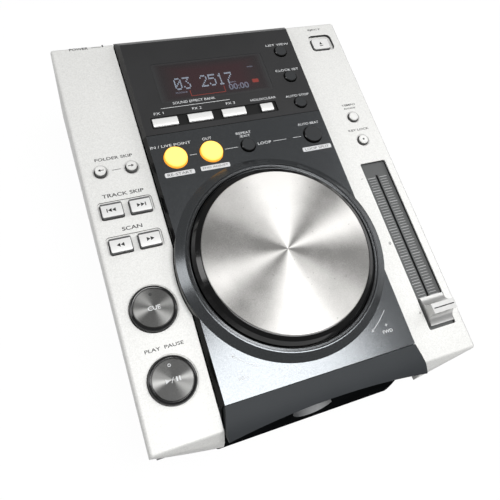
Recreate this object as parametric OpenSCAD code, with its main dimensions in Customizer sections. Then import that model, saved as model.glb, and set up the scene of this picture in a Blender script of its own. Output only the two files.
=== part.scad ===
// Tabletop disc player for mixing music: sloping silver top, raised black deck with a
// jog wheel, tempo fader, push buttons and a front slot drive. Millimetres, +Z up, +Y to
// the rear, origin on the table under the middle of the player.

/* [Body] */
// Width of each silver strip beside the deck
strip_w = 43.6; // [43:0.1:53]
// Length of the sloping top face from its front edge to its rear edge
top_len = 272; // [270:1:300]
// Height of the top's front edge above the table
front_h = 68.4; // [66:0.2:80]
// Slope of the top face in degrees
tilt = 7; // [5:0.5:9]
// Radius of the cover's corners and top edges
edge_r = 2; // [1.5:0.5:4]
// Wall thickness of the silver cover
cover_wall = 2.2; // [1.8:0.1:2.6]
// Height of the front cheeks
cheek_drop = 18; // [14:1:22]
// How far the cheeks' lower edge bows forward in the middle
cheek_bow = 11.3; // [6:0.1:13]
// How far the cheeks' lower edge leans forward at the outer corners
cheek_edge = 0.5; // [0.2:0.1:3]
// Height of the side skirts' rear end above the table
skirt_rear_z = 38; // [30:1:50]
// Thickness of the raised deck's moulded walls
deck_wall = 2.2; // [1.8:0.1:2.6]
// Gap between neighbouring outer panels
seam = 0.35; // [0.2:0.05:0.5]

/* [Deck] */
// Height of the deck above the silver top
deck_rise = 6.5; // [5.5:0.1:8]
// How far the deck reaches past each end of the disc slot
slot_side = 3.4; // [3:0.1:4]
// How far each side of the deck leans in towards its top
deck_taper = 2; // [1.6:0.1:2.4]
// Distance of the waist from the top's front edge
waist_v = 130; // [110:1:150]
// Radius of the deck's waisted sides
waist_r = 9000; // [7000:500:12000]
// Distance of the split between display panel and jog panel from the rear edge
split_back = 82; // [80:0.5:86]
// Length of the bevel at the deck's rear end
bevel_len = 7; // [4:0.5:9]

/* [Visor] */
// Where the visor starts behind the top's front edge
visor_back = 14; // [12:0.5:18]
// Reach of the visor's corners in front of the top's front edge
visor_nose = 5.4; // [4:0.2:7]
// Reach of the visor's middle in front of the top's front edge
visor_mid = 0.8; // [0.2:0.1:3]
// Height of the visor's front corners above the silver top
visor_low_h = 2.4; // [1.6:0.1:3.4]
// Thickness of the visor
visor_wall = 2; // [1.6:0.1:2.6]

/* [Disc slot] */
// Height of the slot's middle above the table
slot_z = 37; // [35:0.5:42]
// Width of the disc slot
slot_w = 124; // [122:0.5:126]
// Height of the disc slot
slot_gap = 5; // [4.6:0.1:6]
// Half width of the lower lip
lip_half = 65.4; // [62:0.1:65.6]
// Reach of the lower lip in front of the fascia
lip_out = 4; // [3:0.2:6]
// Half width of the finger notch
notch_half = 14.1; // [10:0.1:14.1]
// Radius of the finger notch
notch_r = 14.3; // [14.2:0.1:20]

/* [Jog wheel] */
// Distance of the jog wheel's centre from the top's front edge
jog_v = 91.3; // [90:0.1:93]
// Radius of the metal disc
jog_disc_r = 54; // [50:0.5:55]
// Height of the metal disc's face above the silver top
jog_top_h = 15.7; // [14.5:0.1:17]
// Thickness of the metal disc
jog_disc_t = 1.3; // [0.8:0.1:1.6]
// Radius of the wheel's gloss body at its widest
jog_rim_r = 59.3; // [58:0.1:59.5]
// Height of the wheel's widest edge above the silver top
jog_rim_h = 10.7; // [10.2:0.1:11.5]
// Inner radius of the fixed ring round the wheel
ring_in_r = 60.2; // [60:0.1:60.6]
// Outer radius of the fixed ring round the wheel
ring_out_r = 62.6; // [62:0.1:63]
// Height of the fixed ring's crest above the silver top
ring_h = 10.5; // [9.5:0.1:11]
// Radius of the round bulge of the deck outside the ring
bulge_r = 68.6; // [67:0.1:69]
// Radius of the jog shaft
jog_shaft_r = 4; // [3:0.5:5]
// Slots in the encoder wheel
encoder_slots = 60; // [36:6:72]

/* [Controls] */
// How far the left column of buttons lies inside the middle of its strip
left_shift = 0.4; // [0.1:0.05:1]
// Distance of the right column from the cover's side
right_inset = 17; // [16.5:0.1:20]
// Gap round each button
button_gap = 0.4; // [0.2:0.05:0.5]
// Travel of the push buttons
button_travel = 0.8; // [0.4:0.1:1]
// Size of the track and search buttons along the width
pair_w = 13.4; // [11:0.1:14]
// Size of the track and search buttons along the length
pair_d = 9.6; // [8:0.1:10]
// Radius of the CUE and PLAY carriers
play_r = 14; // [12:0.1:14.2]
// Radius of the spun metal caps
play_cap_r = 12; // [9:0.1:12.4]
// Height of the metal caps above the silver top
play_cap_h = 3; // [2.5:0.1:4]
// Radius of the lit loop buttons
loop_r = 7.5; // [6:0.1:8]
// Length of the slab buttons under the display
slab_w = 17; // [12:0.1:18.5]
// Length of the short slab button
hold_w = 9.1; // [7:0.1:11]
// Travel of the power switch
power_travel = 3; // [2:0.5:4]

/* [Tempo fader] */
// Distance of the fader's middle from the top's front edge
fader_v = 82; // [80:0.5:84]
// Length of the fader's plate
fader_len = 125; // [124:1:128]
// Width of the fader's plate
fader_w = 20; // [19:0.5:21]
// Full travel of the fader's knob
fader_travel = 102; // [90:1:102]
// Width of the fader's knob
knob_w = 17.8; // [14:0.1:18]
// Length of the fader's knob
knob_d = 19.3; // [16:0.1:19.8]
// Height of the knob's crest above the silver top
knob_h = 10.2; // [9:0.1:12]

/* [Slot drive] */
// Distance of the spindle from the top's front edge
spindle_y = 80; // [78:1:84]
// Half width of the drive frame
frame_half = 68; // [67:0.5:70]
// Radius of the feed roller's ends
roller_r = 4; // [3.2:0.1:4.4]
// Module of the roller's gears
gear_mod = 0.8; // [0.6:0.05:0.9]
// Teeth of the roller's gear
gear_teeth = 24; // [20:1:26]
// Teeth of the motor's pinion
pinion_teeth = 10; // [9:1:12]
// Travel of the pickup sled
sled_travel = 35; // [25:1:35]
// Pitch of the lead screw
screw_pitch = 3; // [2:0.5:4]

/* [Base and rear] */
// Height of the rubber feet
foot_h = 6; // [4:0.5:9]
// Radius of the rubber feet
foot_r = 9; // [7:0.5:11]
// Thickness of the sheet metal
sheet = 1.6; // [1.2:0.1:2]
// Distance of the chassis walls inside the cover's sides
chassis_in = 6; // [5:0.5:8]
// Reach of the phono jacks behind the cover
jack_out = 8; // [6:0.5:10]

/* [Hidden] */
$fn = 96;

// A shaft's running clearance, and the gap left between faces that only meet.
run_gap = 0.04;
face_gap = 0.1;
// How far a cutting shape reaches past what it cuts.
over = 1;

// ---- Widths that follow from the slot and the strips
waist_half = slot_w / 2 + slot_side;
deck_top_half = waist_half - deck_taper;
body_w = 2 * (waist_half + strip_w);

// ---- Frame: the sloping top face has its own axes x, v (up the slope) and h (off it).
front_reach = visor_nose * cos(tilt) + visor_low_h * sin(tilt);
depth = front_reach + top_len * cos(tilt) + jack_out;
y_front = front_reach - depth / 2;
y_rear = y_front + top_len * cos(tilt);
rear_face = y_rear - 3;

function top_z(y) = front_h + (y - y_front) * tan(tilt);

module on_top() {
    translate([0, y_front, front_h]) rotate([tilt, 0, 0]) children();
}

// ---- Places on the top face
left_x = left_shift - waist_half - strip_w / 2;
right_x = body_w / 2 - right_inset;
play_v = 36.4;
cue_gap = 42.8;
search_gap = 43.4;
track_gap = 23.5;
folder_gap = 27.4;
cue_v = play_v + cue_gap;
search_v = cue_v + search_gap;
track_v = search_v + track_gap;
folder_v = track_v + folder_gap;
folder_pitch = 19.7;
pair_pitch = 17.8;
pair_rim = 1.5;
pair_h = 2.3;
pair_forward = 0.4;
key_gap = 19.2;
tempo_gap = 20.1;
key_v = fader_v + fader_len / 2 + key_gap;
tempo_v = key_v + tempo_gap;
eject_back = 18.7;
eject_v = top_len - eject_back;
eject_w = 14.9;
eject_d = 10.2;
eject_rim = 2.5;
eject_pad = 5;
eject_under = 5.4;
folder_r = 3.4;
small_r = 3.5;
dish_gap = 0.7;
dish_depth = 0.9;

// ---- Places on the deck
deck_h = deck_rise;
deck_under = deck_h - deck_wall;
split_v = top_len - split_back;
slab_gap = 8.8;
slab_inset = 15.1;
slab_v = split_v + slab_gap;
slab_x = slab_inset - deck_top_half;
slab_pitch = 24.3;
slab_d = 6.8;
slab_h = deck_h + 1;
hold_x = 25;
channel_depth = 1;
channel_rim = 0.9;
round_inset = 11.9;
round_pitch = 22.75;
round_x = deck_top_half - round_inset;
round_v = slab_v + 2 * round_pitch;
round_r = 4.5;
loop_gap = 18.6;
loop_inset = 14.8;
loop_pitch = 24.4;
loop_v = split_v - loop_gap;
loop_x = [loop_inset - deck_top_half, loop_inset - deck_top_half + loop_pitch];
exit_x = 1.9;
exit_r = 4.8;
beat_inset = 12.6;
beat_x = deck_top_half - beat_inset;
beat_r = 6.4;
window_inset = 16.4;
window_side = 16.1;
window_gap = 23;
window_back = 26.7;
window_x = [window_inset - deck_top_half, round_x - window_side];
window_v = [split_v + window_gap, top_len - window_back];
window_t = 1.5;
window_ledge = 1.5;
module_side = 3;
module_end = 2.5;

// ---- Button build: cap, flange under the panel, stem down to a switch on a board
flange_t = 1.4;
flange_lip = 1.2;
stem_r = 1.8;
switch_w = 6;
switch_h = 3.5;
board_t = 1.6;
side_board_h = -14;
deck_board_h = -8.4;
deck_board_half = deck_top_half - 0.9;
stem_rest = button_travel + 0.2;
boss_r = 3;

// ---- Jog wheel
disc_low = jog_top_h - jog_disc_t;
rim_top_h = jog_top_h - 0.5;
rim_web = 2;
rim_wall = 2;
hub_r = 9;
hub_low = 1.3;
base_top = -2.4;
base_t = 2;
bush_wall = 1.2;
bush_low = -12;
bush_flange_t = 1;
encoder_r = 50;
encoder_in = 44;
encoder_t = 1;
encoder_h = 5;
encoder_wall = 1.2;

// ---- Fader
plate_top = -2;
plate_t = 2;
plate_flange = 2.5;
fader_slot_w = 1.6;
tongue_t = 1;
tongue_d = 3;
pot_w = 12;
pot_depth = 8;
pot_wall = 2;
knob_rest_v = fader_v - fader_travel / 2;

// ---- Drive
fascia_y = y_front + 1.5;
fascia_t = 2.5;
fascia_back = fascia_y + fascia_t;
fascia_top = front_h - 3.5;
fascia_half = waist(0) - seam - 0.6;
lip_z = slot_z - slot_gap / 2 - 2.7;
notch_rise = sqrt(notch_r * notch_r - notch_half * notch_half);
notch_mid = lip_z + notch_rise;
notch_z = notch_mid - notch_r;
notch_back = 3;
notch_wall = 1.5;
lip_low = foot_h + 3;
brow_top = front_h + 3.4;
frame_front = fascia_back + sheet + 4;
spin_y = y_front + spindle_y;
disc_r = 60;
path_half = slot_gap / 2 - face_gap;
path_low = slot_z - path_half;
path_high = slot_z + path_half;
frame_sheet = 1.2;
frame_z = slot_z - 20;
frame_floor = frame_z + frame_sheet;
frame_back = spin_y + max(disc_r, sled_travel + 25) + 16;
frame_top = slot_z + 12;
roller_y = frame_front + 9;
roller_z = path_low - 0.3 - roller_r;
roller_half = 54;
roller_shaft_r = 1.5;
gear_t = 3.5;
gear_x = frame_half - frame_sheet - gear_t - 0.6;
gear_gap = 0.15;
gear_r = gear_mod * gear_teeth / 2;
pinion_r = gear_mod * pinion_teeth / 2;
motor_r = 6;
motor_len = 18;
gear_dist = gear_r + pinion_r + gear_gap;
pinion_z = frame_floor + motor_r + 0.2;
pinion_y = roller_y + sqrt(gear_dist * gear_dist - pow(roller_z - pinion_z, 2));
mesh_angle = atan2(pinion_z - roller_z, pinion_y - roller_y);
spindle_motor_r = 12;
spindle_motor_h = path_low - frame_floor - 5;
table_r = 15;
rod_r = 1.5;
rod_x = 18;
rod_z = path_low - 4.6;
rod_front = spin_y + spindle_motor_r + 1;
rod_back = frame_back - frame_sheet;
sled_d = 20;
sled_t = 6;
sled_front = spin_y + spindle_motor_r + 3;
screw_x = -26;
screw_r = 1.5;
stepper_r = 4.5;
stepper_len = 9;
arm_y = frame_back - 8;
arm_z = frame_top + 3;
arm_w = 22;
arm_t = 1.5;
arm_pin_r = 1.5;
puck_r = 13;
puck_low = path_high + 3.2;

// ---- Chassis
floor_z = foot_h;
floor_top = floor_z + sheet;
chassis_half = body_w / 2 - chassis_in;
chassis_front = fascia_back;
chassis_clear = 15;
cut_half = lip_half - 2.5;
foot_inset = 21;
foot_x = body_w / 2 - foot_inset;
foot_y = [y_front + 24, y_rear - 24];
post_r = 3.5;
screw_hole_r = 1.7;
tap_r = 1.55;
shank_r = 1.5;
head_r = 3;
head_t = 1.8;
shank_len = 9;
cover_screw_x = frame_half + post_r + 1.5;
cover_screw_y = [y_front + 12, y_rear - 8.2];
drive_post_x = frame_half - 10;
drive_post_y = [frame_front + 40, frame_back - 8];
board_z = 14;
board_front = frame_back + 9;
board_back = rear_face - sheet - 8;
board_half = chassis_half - 10;
board_split = 4;
vent_count = 9;
vent_pitch = 7;

// ---- Rear
rear_band = 14;
rear_inset = 21;
power_x = rear_inset - body_w / 2;
power_z = skirt_rear_z + 28;
power_w = 12;
power_d = 8;
power_out = 5;
power_len = 12;
jack_z = 36;
jack_x = [22, 41, 56];
control_x = 7;
jack_r = 4.2;
jack_bore_r = 3.2;
control_r = 3;
control_bore_r = 1.75;
inlet_x = rear_inset - body_w / 2;
inlet_w = 24;
inlet_h = 16;
eight_r = 4.2;
eight_pitch = 8.6;

// ================= Shared shapes =================

// Flat shape of a rectangle with round corners, drawn with true arcs.
module round_rect(w, d, r) {
    square([w - 2 * r, d], center = true);
    square([w, d - 2 * r], center = true);
    for (sx = [-1, 1], sy = [-1, 1]) {
        translate([sx * (w / 2 - r), sy * (d / 2 - r)]) circle(r, $fn = 48);
    }
}

// Slab with round corners, from height low to height high.
module round_slab(w, d, r, low, high) {
    translate([0, 0, low]) linear_extrude(high - low) round_rect(w, d, r);
}

// Upright cylinder from height low to height high.
module drum(r, low, high) {
    translate([0, 0, low]) cylinder(r = r, h = high - low);
}

// Tube with an open bore, from height low to height high.
module tube(r, bore, low, high) {
    difference() {
        drum(r, low, high);
        drum(bore, low - over, high + over);
    }
}

// Child profile, drawn in the v and h axes, stretched across the width.
module across(width) {
    translate([-width / 2, 0, 0]) rotate([90, 0, 90]) linear_extrude(width) children();
}

// A rod along X or along Y, starting at the child's origin.
module rod_x_axis(r, len) {
    rotate([0, 90, 0]) cylinder(r = r, h = len);
}
module rod_y_axis(r, len) {
    rotate([-90, 0, 0]) cylinder(r = r, h = len);
}

// Half width of the deck's foot at distance v from the front edge.
function waist(v) = waist_half + pow(v - waist_v, 2) / (2 * waist_r);

// Plan of the deck's foot between two distances, grown by a gap.
module waist_plan(from, to, grow) {
    steps = 16;
    points = [for (i = [0:steps]) from + (to - from) * i / steps];
    polygon(concat(
        [for (v = points) [waist(v) + grow, v]],
        [for (i = [steps:-1:0]) [-waist(points[i]) - grow, points[i]]]));
}

// ================= Silver cover =================

// Lower front edge of the cheeks, bowed forward in the middle.
function nose(x) = (cheek_bow - cheek_edge) * pow(2 * x / body_w, 2) - cheek_bow;

module nose_plan(inset) {
    side = body_w / 2 - inset;
    steps = 20;
    polygon(concat(
        [for (i = [0:steps]) let (x = -side + 2 * side * i / steps) [x, nose(x) + inset]],
        [[side, inset + edge_r], [-side, inset + edge_r]]));
}

// Closed wedge of the cover, moved in by inset and reaching down by extra.
module cover_form(inset, extra) {
    r = max(edge_r - inset, 0.8);
    side = body_w / 2 - inset;
    back = y_rear - inset - r;
    hull() {
        for (s = [-1, 1]) {
            on_top() translate([s * (side - r), inset + r, -inset - r]) sphere(r, $fn = 32);
            translate([s * (side - r), back, top_z(back) - (inset + r) / cos(tilt)])
                sphere(r, $fn = 32);
            translate([s * (side - r), back, skirt_rear_z - extra])
                cylinder(r = r, h = 1, $fn = 32);
        }
        on_top() translate([0, 0, -cheek_drop - extra]) linear_extrude(0.5)
            nose_plan(inset);
    }
}

// Round boss under the cover that a board is screwed to.
module board_bosses(points, from, to) {
    for (p = points) {
        translate([p[0], p[1], 0]) tube(boss_r, shank_r, to, from);
    }
}

left_boss_points = [for (v = [(cue_v + play_v) / 2, cue_v + 25, folder_v - 12.5], s = [-1, 1])
    [left_x + s * 11.5, v]];
right_boss_points = [for (v = [key_v - 10, tempo_v + 22, eject_v - 14], s = [-1, 1])
    [right_x + s * 9.5 - 1, v]];

module pair_recess(v) {
    translate([left_x, v, 0])
        round_slab(pair_pitch + pair_w + 2 * pair_rim, pair_d + 2 * pair_rim, 2.5, -1, over);
}

module pair_hole(v, s) {
    translate([left_x + s * pair_pitch / 2, v - pair_forward, 0])
        round_slab(pair_w + 2 * button_gap, pair_d + 2 * button_gap, 1.3,
            -cover_wall - over, over);
}

module round_hole(x, v, r, recess_r, recess_depth, from) {
    translate([x, v, 0]) {
        drum(r + button_gap, from - 10, from + over);
        drum(recess_r, from - recess_depth, from + over);
    }
}

// Countersunk hole of a small round button in the cover.
module dish_hole(x, v, r) {
    low = r + dish_gap;
    translate([x, v, 0]) {
        drum(low, -10, over);
        translate([0, 0, -dish_depth])
            cylinder(r1 = low, r2 = low + dish_depth + over, h = dish_depth + over);
    }
}

module top_cover() {
    color([0.85, 0.85, 0.84]) difference() {
        union() {
            difference() {
                cover_form(0, 0);
                cover_form(cover_wall, 3);
                // Opening in the rear wall for the chassis
                translate([-chassis_half + 2, y_rear - 5 - cover_wall, 0])
                    cube([2 * chassis_half - 4, 5 + cover_wall + over, top_z(y_rear) - rear_band]);
            }
            intersection() {
                cover_form(0, 0);
                on_top() {
                    board_bosses(left_boss_points, -cover_wall / 2, side_board_h + board_t);
                    board_bosses(right_boss_points, -cover_wall / 2, side_board_h + board_t);
                    translate([right_x, eject_v, 0])
                        round_slab(eject_w + 2 * eject_pad, eject_d + 2 * eject_pad, 4,
                            -eject_under, -cover_wall / 2);
                }
            }
            // Pillars for the case screws
            intersection() {
                cover_form(cover_wall / 2, front_h);
                for (s = [-1, 1], y = cover_screw_y) {
                    translate([s * cover_screw_x, y, 0])
                        tube(post_r, tap_r, floor_top, top_z(y) - cover_wall / 2);
                }
            }
        }
        on_top() {
            // Deck opening, with the round bulge of the jog wheel
            translate([0, 0, base_top - face_gap]) linear_extrude(20) {
                waist_plan(-30, top_len + 5, seam);
                translate([0, jog_v]) circle(bulge_r + 0.4 + seam, $fn = 180);
            }
            // Front opening between the cheeks
            translate([0, 0, -cheek_drop - 12]) linear_extrude(30)
                waist_plan(-30, visor_back, seam);
            for (s = [-1, 1]) {
                dish_hole(left_x + s * folder_pitch / 2, folder_v, folder_r);
                pair_hole(track_v, s);
                pair_hole(search_v, s);
            }
            pair_recess(track_v);
            pair_recess(search_v);
            round_hole(left_x, cue_v, play_r, play_r + 1, 0.8, 0);
            round_hole(left_x, play_v, play_r, play_r + 1, 0.8, 0);
            dish_hole(right_x, tempo_v, small_r);
            dish_hole(right_x, key_v, small_r);
            translate([right_x, eject_v, 0]) {
                round_slab(eject_w + 2 * button_gap, eject_d + 2 * button_gap, 2.5, -10, over);
                round_slab(eject_w + 2 * eject_rim, eject_d + 2 * eject_rim, 4.2, -2.4, over);
            }
            translate([right_x, fader_v, 0])
                round_slab(fader_w + 2 * button_gap, fader_len + 2 * button_gap, 1.2, -9, over);
        }
    }
}

// ================= Raised deck =================

// Block of the deck between two distances, with sloping sides.
module deck_block(from, to) {
    foot_h = 0.3;
    foot_half = waist(top_len);
    intersection() {
        translate([0, 0, base_top]) linear_extrude(deck_h - base_top)
            waist_plan(from, to, -seam);
        translate([0, to, 0]) rotate([90, 0, 0]) linear_extrude(to - from)
            polygon([[-foot_half, base_top], [foot_half, base_top], [foot_half, foot_h],
                [deck_top_half, deck_h], [-deck_top_half, deck_h], [-foot_half, foot_h]]);
    }
}

// Hollow under the deck between two distances.
module deck_hollow(from, to) {
    inner = deck_top_half - deck_wall;
    translate([-inner, from, base_top - over])
        cube([2 * inner, to - from, deck_under - base_top + over]);
}

// Flange of a deck panel that lies under the cover's edge.
module deck_flange(from, to) {
    translate([0, 0, base_top - deck_wall]) linear_extrude(deck_wall) difference() {
        waist_plan(from, to, 3);
        square([2 * (deck_top_half - deck_wall), 3 * top_len], center = true);
    }
}

deck_boss_points = [for (x = [6.4 - deck_top_half, deck_top_half - 3.9],
    v = [split_v + 25, top_len - 14]) [x, v]];
loop_boss_points = [[(loop_x[0] + loop_x[1]) / 2, loop_v - 4], [exit_x + 14, loop_v - 3],
    [beat_x + 8, loop_v + 12]];

module display_panel() {
    rear = top_len - 0.8;
    color([0.2, 0.2, 0.21]) on_top() {
        difference() {
            union() {
                difference() {
                    intersection() {
                        deck_block(split_v + seam / 2, rear);
                        across(2 * body_w) polygon([[split_v, base_top - over],
                            [split_v, deck_h], [rear - bevel_len, deck_h], [rear, 0.3],
                            [rear - 0.4, base_top - over]]);
                    }
                    deck_hollow(split_v + seam / 2 + deck_wall, rear - bevel_len - 1);
                }
                deck_flange(split_v + seam / 2, rear - 8);
                board_bosses(deck_boss_points, deck_h - 1, deck_board_h + board_t);
            }
            // Window opening with its ledge
            window_cut(0, deck_h - window_t - face_gap);
            window_cut(-window_ledge, deck_under - over);
            // Channel of the slab buttons
            channel();
            for (i = [0:2]) {
                slab_hole(slab_x + i * slab_pitch, slab_w);
                round_hole(round_x, round_v - i * round_pitch, round_r, round_r + 0.6, 0.5,
                    deck_h);
            }
            slab_hole(hold_x, hold_w);
        }
    }
}

module window_cut(grow, low) {
    w = window_x[1] - window_x[0] + 2 * grow;
    d = window_v[1] - window_v[0] + 2 * grow;
    translate([(window_x[0] + window_x[1]) / 2, (window_v[0] + window_v[1]) / 2, 0])
        round_slab(w, d, 1.5, low, deck_h + over);
}

module channel() {
    left = slab_x - slab_w / 2 - channel_rim;
    right = hold_x + hold_w / 2 + 3.4;
    translate([(left + right) / 2, slab_v, 0])
        round_slab(right - left, slab_d + 2 * channel_rim, 1, deck_h - channel_depth,
            deck_h + over);
}

module slab_hole(x, w) {
    translate([x, slab_v, 0]) round_slab(w + 2 * button_gap, slab_d + 2 * button_gap, 0.8,
        deck_under - over, deck_h + over);
}

module jog_plate() {
    color([0.3, 0.3, 0.31]) on_top() {
        difference() {
            union() {
                difference() {
                    deck_block(visor_back + seam / 2, split_v - seam / 2);
                    deck_hollow(visor_back + seam / 2 + deck_wall,
                        split_v - seam / 2 - deck_wall);
                }
                deck_flange(visor_back + seam / 2, split_v - seam / 2);
                translate([0, jog_v, 0]) jog_bulge();
                board_bosses(loop_boss_points, deck_h - 1, deck_board_h + board_t);
            }
            translate([0, jog_v, 0]) drum(ring_out_r + face_gap, base_top - 4, 20);
            for (x = loop_x) {
                round_hole(x, loop_v, loop_r, loop_r + 0.6, 0.5, deck_h);
            }
            round_hole(exit_x, loop_v, exit_r, exit_r + 0.6, 0.5, deck_h);
            round_hole(beat_x, loop_v, beat_r, beat_r + 0.6, 0.5, deck_h);
        }
    }
}

// Round bulge of the jog panel that carries the ring.
module jog_bulge() {
    rotate_extrude($fn = 180) polygon([[ring_out_r - 0.5, base_top], [ring_out_r - 0.5, ring_h - 0.2],
        [ring_out_r + 0.6, ring_h - 0.2], [bulge_r, deck_h + 0.2], [bulge_r + 0.3, deck_h - 1],
        [bulge_r + 0.4, base_top]]);
}

// ================= Visor and slot fascia =================

// Front edge of the visor in plan: reaches furthest at its corners.
function visor_edge(x) = -visor_mid - (visor_nose - visor_mid) * pow(x / waist(-visor_nose), 2);

module visor_plan() {
    half = waist(-visor_nose) - seam;
    steps = 24;
    polygon(concat(
        [for (i = [0:steps]) let (x = -half + 2 * half * i / steps) [x, visor_edge(x)]],
        [[half, 1], [deck_top_half, visor_back - seam / 2],
         [-deck_top_half, visor_back - seam / 2], [-half, 1]]));
}

// Height of the visor's face, which falls faster and faster towards its front edge.
function visor_face(v) = deck_h
    - (deck_h - visor_low_h + 0.2) * pow((visor_back - v) / (visor_back + visor_nose + 0.5), 3.2);

visor_v = [for (i = [0:12]) visor_back - (visor_back + visor_nose + 0.5) * i / 12];

module front_visor() {
    step = visor_back - 2.5;
    color([0.24, 0.25, 0.26]) on_top() {
        intersection() {
            linear_extrude(2 * deck_h + 20, center = true) visor_plan();
            across(body_w) polygon(concat(
                [for (v = visor_v) [v, visor_face(v)]],
                [for (i = [12:-1:2]) [visor_v[i], visor_face(visor_v[i]) - visor_wall + i / 30]],
                [[step, deck_h - visor_wall], [step, base_top], [visor_back, base_top]]));
        }
        // Side cheeks of the visor that stand in the silver opening
        for (s = [-1, 1]) {
            intersection() {
                linear_extrude(2 * deck_h + 20, center = true) difference() {
                    visor_plan();
                    square([2 * deck_top_half - 3, 3 * visor_back], center = true);
                }
                across(body_w) polygon(concat(
                    [for (i = [1:12]) [visor_v[i], visor_face(visor_v[i]) - 0.6]],
                    [[-2, -3], [visor_v[1], -3]]));
                translate([s * body_w / 2, 0, 0]) cube([body_w, body_w, 60], center = true);
            }
        }
    }
}

// Section of the lip: a face that leans forward towards the table.
module fascia_profile() {
    y = fascia_y;
    polygon([[fascia_back, lip_low], [y - lip_out + 1.6, lip_low],
        [y - lip_out + 0.4, lip_low + 1.2], [y - lip_out, lip_low + 3],
        [y - 0.4, slot_z - slot_gap / 2 - 1.5], [y, slot_z - slot_gap / 2 - 0.6],
        [y, lip_z + 3], [fascia_back, lip_z + 3]]);
}

// Space behind the lip, outside the walls of the finger notch.
module lip_hollow() {
    y = fascia_y;
    low = lip_low + 2.5;
    high = lip_z - 5;
    difference() {
        across(2 * lip_half - 6) polygon([[y + 20, low], [y - lip_out + 2.4, low],
            [y + 1, high], [y + 20, high]]);
        translate([0, y - 10, notch_mid]) rod_y_axis(notch_r + notch_wall, 50);
    }
}

module slot_fascia() {
    y = fascia_y;
    color([0.05, 0.05, 0.06]) difference() {
        union() {
            // Upper part with the slot, and the brow that closes it under the visor
            translate([0, 0, lip_z]) linear_extrude(fascia_top - lip_z)
                translate([0, y + fascia_t / 2]) square([2 * fascia_half, fascia_t], center = true);
            translate([2 - deck_top_half, y, fascia_top - 1])
                cube([2 * deck_top_half - 4, fascia_t, brow_top - fascia_top + 1]);
            // Lip with rounded ends
            intersection() {
                across(2 * lip_half) fascia_profile();
                translate([0, y - lip_out + 20, 0])
                    round_slab(2 * lip_half, 40, 2.5, 0, fascia_top);
            }
            // Cup behind the finger notch
            intersection() {
                translate([0, y, notch_mid])
                    rod_y_axis(notch_r + notch_wall, notch_back + notch_wall);
                translate([-front_h / 2, y - over, 0])
                    cube([front_h, 20, slot_z - slot_gap / 2 - 0.6]);
            }
        }
        lip_hollow();
        // Slot and its flared mouth
        translate([0, y + 10, slot_z]) rotate([90, 0, 0]) {
            linear_extrude(30) round_rect(slot_w, slot_gap, 1);
            translate([0, 0, 9.4]) linear_extrude(20)
                round_rect(slot_w + 1.2, slot_gap + 1.2, 1.6);
        }
        // Finger notch
        intersection() {
            translate([0, y - 20, notch_mid]) rod_y_axis(notch_r, 20 + notch_back);
            translate([-front_h / 2, y - 20, 0]) cube([front_h, 40, slot_z]);
        }
    }
}

// ================= Display =================

module display_window() {
    w = window_x[1] - window_x[0] - 2 * face_gap;
    d = window_v[1] - window_v[0] - 2 * face_gap;
    color([0.2, 0.08, 0.1, 0.8]) on_top()
        translate([(window_x[0] + window_x[1]) / 2, (window_v[0] + window_v[1]) / 2, 0])
        round_slab(w, d, 1.4, deck_h - window_t, deck_h - face_gap);
}

module display_module() {
    w = window_x[1] - window_x[0] - 2 * module_side;
    d = window_v[1] - window_v[0] - 2 * module_end;
    low = deck_board_h + board_t;
    color([0.12, 0.14, 0.16]) on_top()
        translate([(window_x[0] + window_x[1]) / 2, (window_v[0] + window_v[1]) / 2, 0]) {
            round_slab(w, d, 1, low, deck_under - 2);
            round_slab(w - 2 * module_side, d - 2 * module_side, 1, deck_under - 2.5, deck_under + 0.2);
        }
}

// ================= Buttons =================

// Flange, given as a flat shape, and stem of a button whose panel ends at height under.
module button_foot(under, switch_top) {
    high = under - 0.2;
    translate([0, 0, high - flange_t]) linear_extrude(flange_t) children();
    drum(stem_r, switch_top + stem_rest, high - flange_t / 2);
}

side_switch = side_board_h + board_t + switch_h;
deck_switch = deck_board_h + board_t + switch_h;

// Round button through the silver cover, in its countersunk hole.
module cover_round_button(x, v, r, top, shade) {
    color(shade) on_top() translate([x, v, 0]) {
        translate([0, 0, top - 0.5]) cylinder(r1 = r, r2 = r - 0.5, h = 0.5);
        drum(r, -cover_wall - 0.4, top - 0.5);
        button_foot(-cover_wall, side_switch) circle(r + flange_lip);
    }
}

// Round button through the deck.
module deck_round_button(x, v, r, top, shade) {
    color(shade) on_top() translate([x, v, 0]) {
        translate([0, 0, top - 0.5]) cylinder(r1 = r, r2 = r - 0.5, h = 0.5);
        drum(r, deck_under - 0.4, top - 0.5);
        button_foot(deck_under, deck_switch) circle(r + flange_lip);
    }
}

// Slab button in the channel, with a curved top.
module slab_button(x, w) {
    crown_r = 9;
    color([0.9, 0.9, 0.9]) on_top() translate([x, slab_v, 0]) {
        intersection() {
            round_slab(w, slab_d, 0.7, deck_under - 0.4, slab_h);
            translate([-w, 0, slab_h - crown_r]) rod_x_axis(crown_r, 2 * w);
        }
        round_slab(w - 0.2, slab_d - 0.2, 0.6, deck_under - 0.4, slab_h - 1.2);
        button_foot(deck_under, deck_switch) round_rect(w + 2 * flange_lip, slab_d + 1.4, 0.7);
    }
}

// One of a pair of rectangular buttons on the left strip, with a gently curved top.
module pair_button(v, s) {
    crown_r = 25;
    color([0.92, 0.92, 0.91]) on_top()
        translate([left_x + s * pair_pitch / 2, v - pair_forward, 0]) {
        intersection() {
            union() {
                round_slab(pair_w - 0.8, pair_d - 0.8, 0.8, 1, pair_h);
                round_slab(pair_w, pair_d, 1, -cover_wall - 0.4, pair_h - 0.5);
            }
            translate([-pair_w, -1, pair_h - crown_r]) rod_x_axis(crown_r, 2 * pair_w, $fn = 180);
        }
        button_foot(-cover_wall, side_switch)
            round_rect(pair_w + 2 * flange_lip, pair_d + 2 * flange_lip, 1);
    }
}

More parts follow.
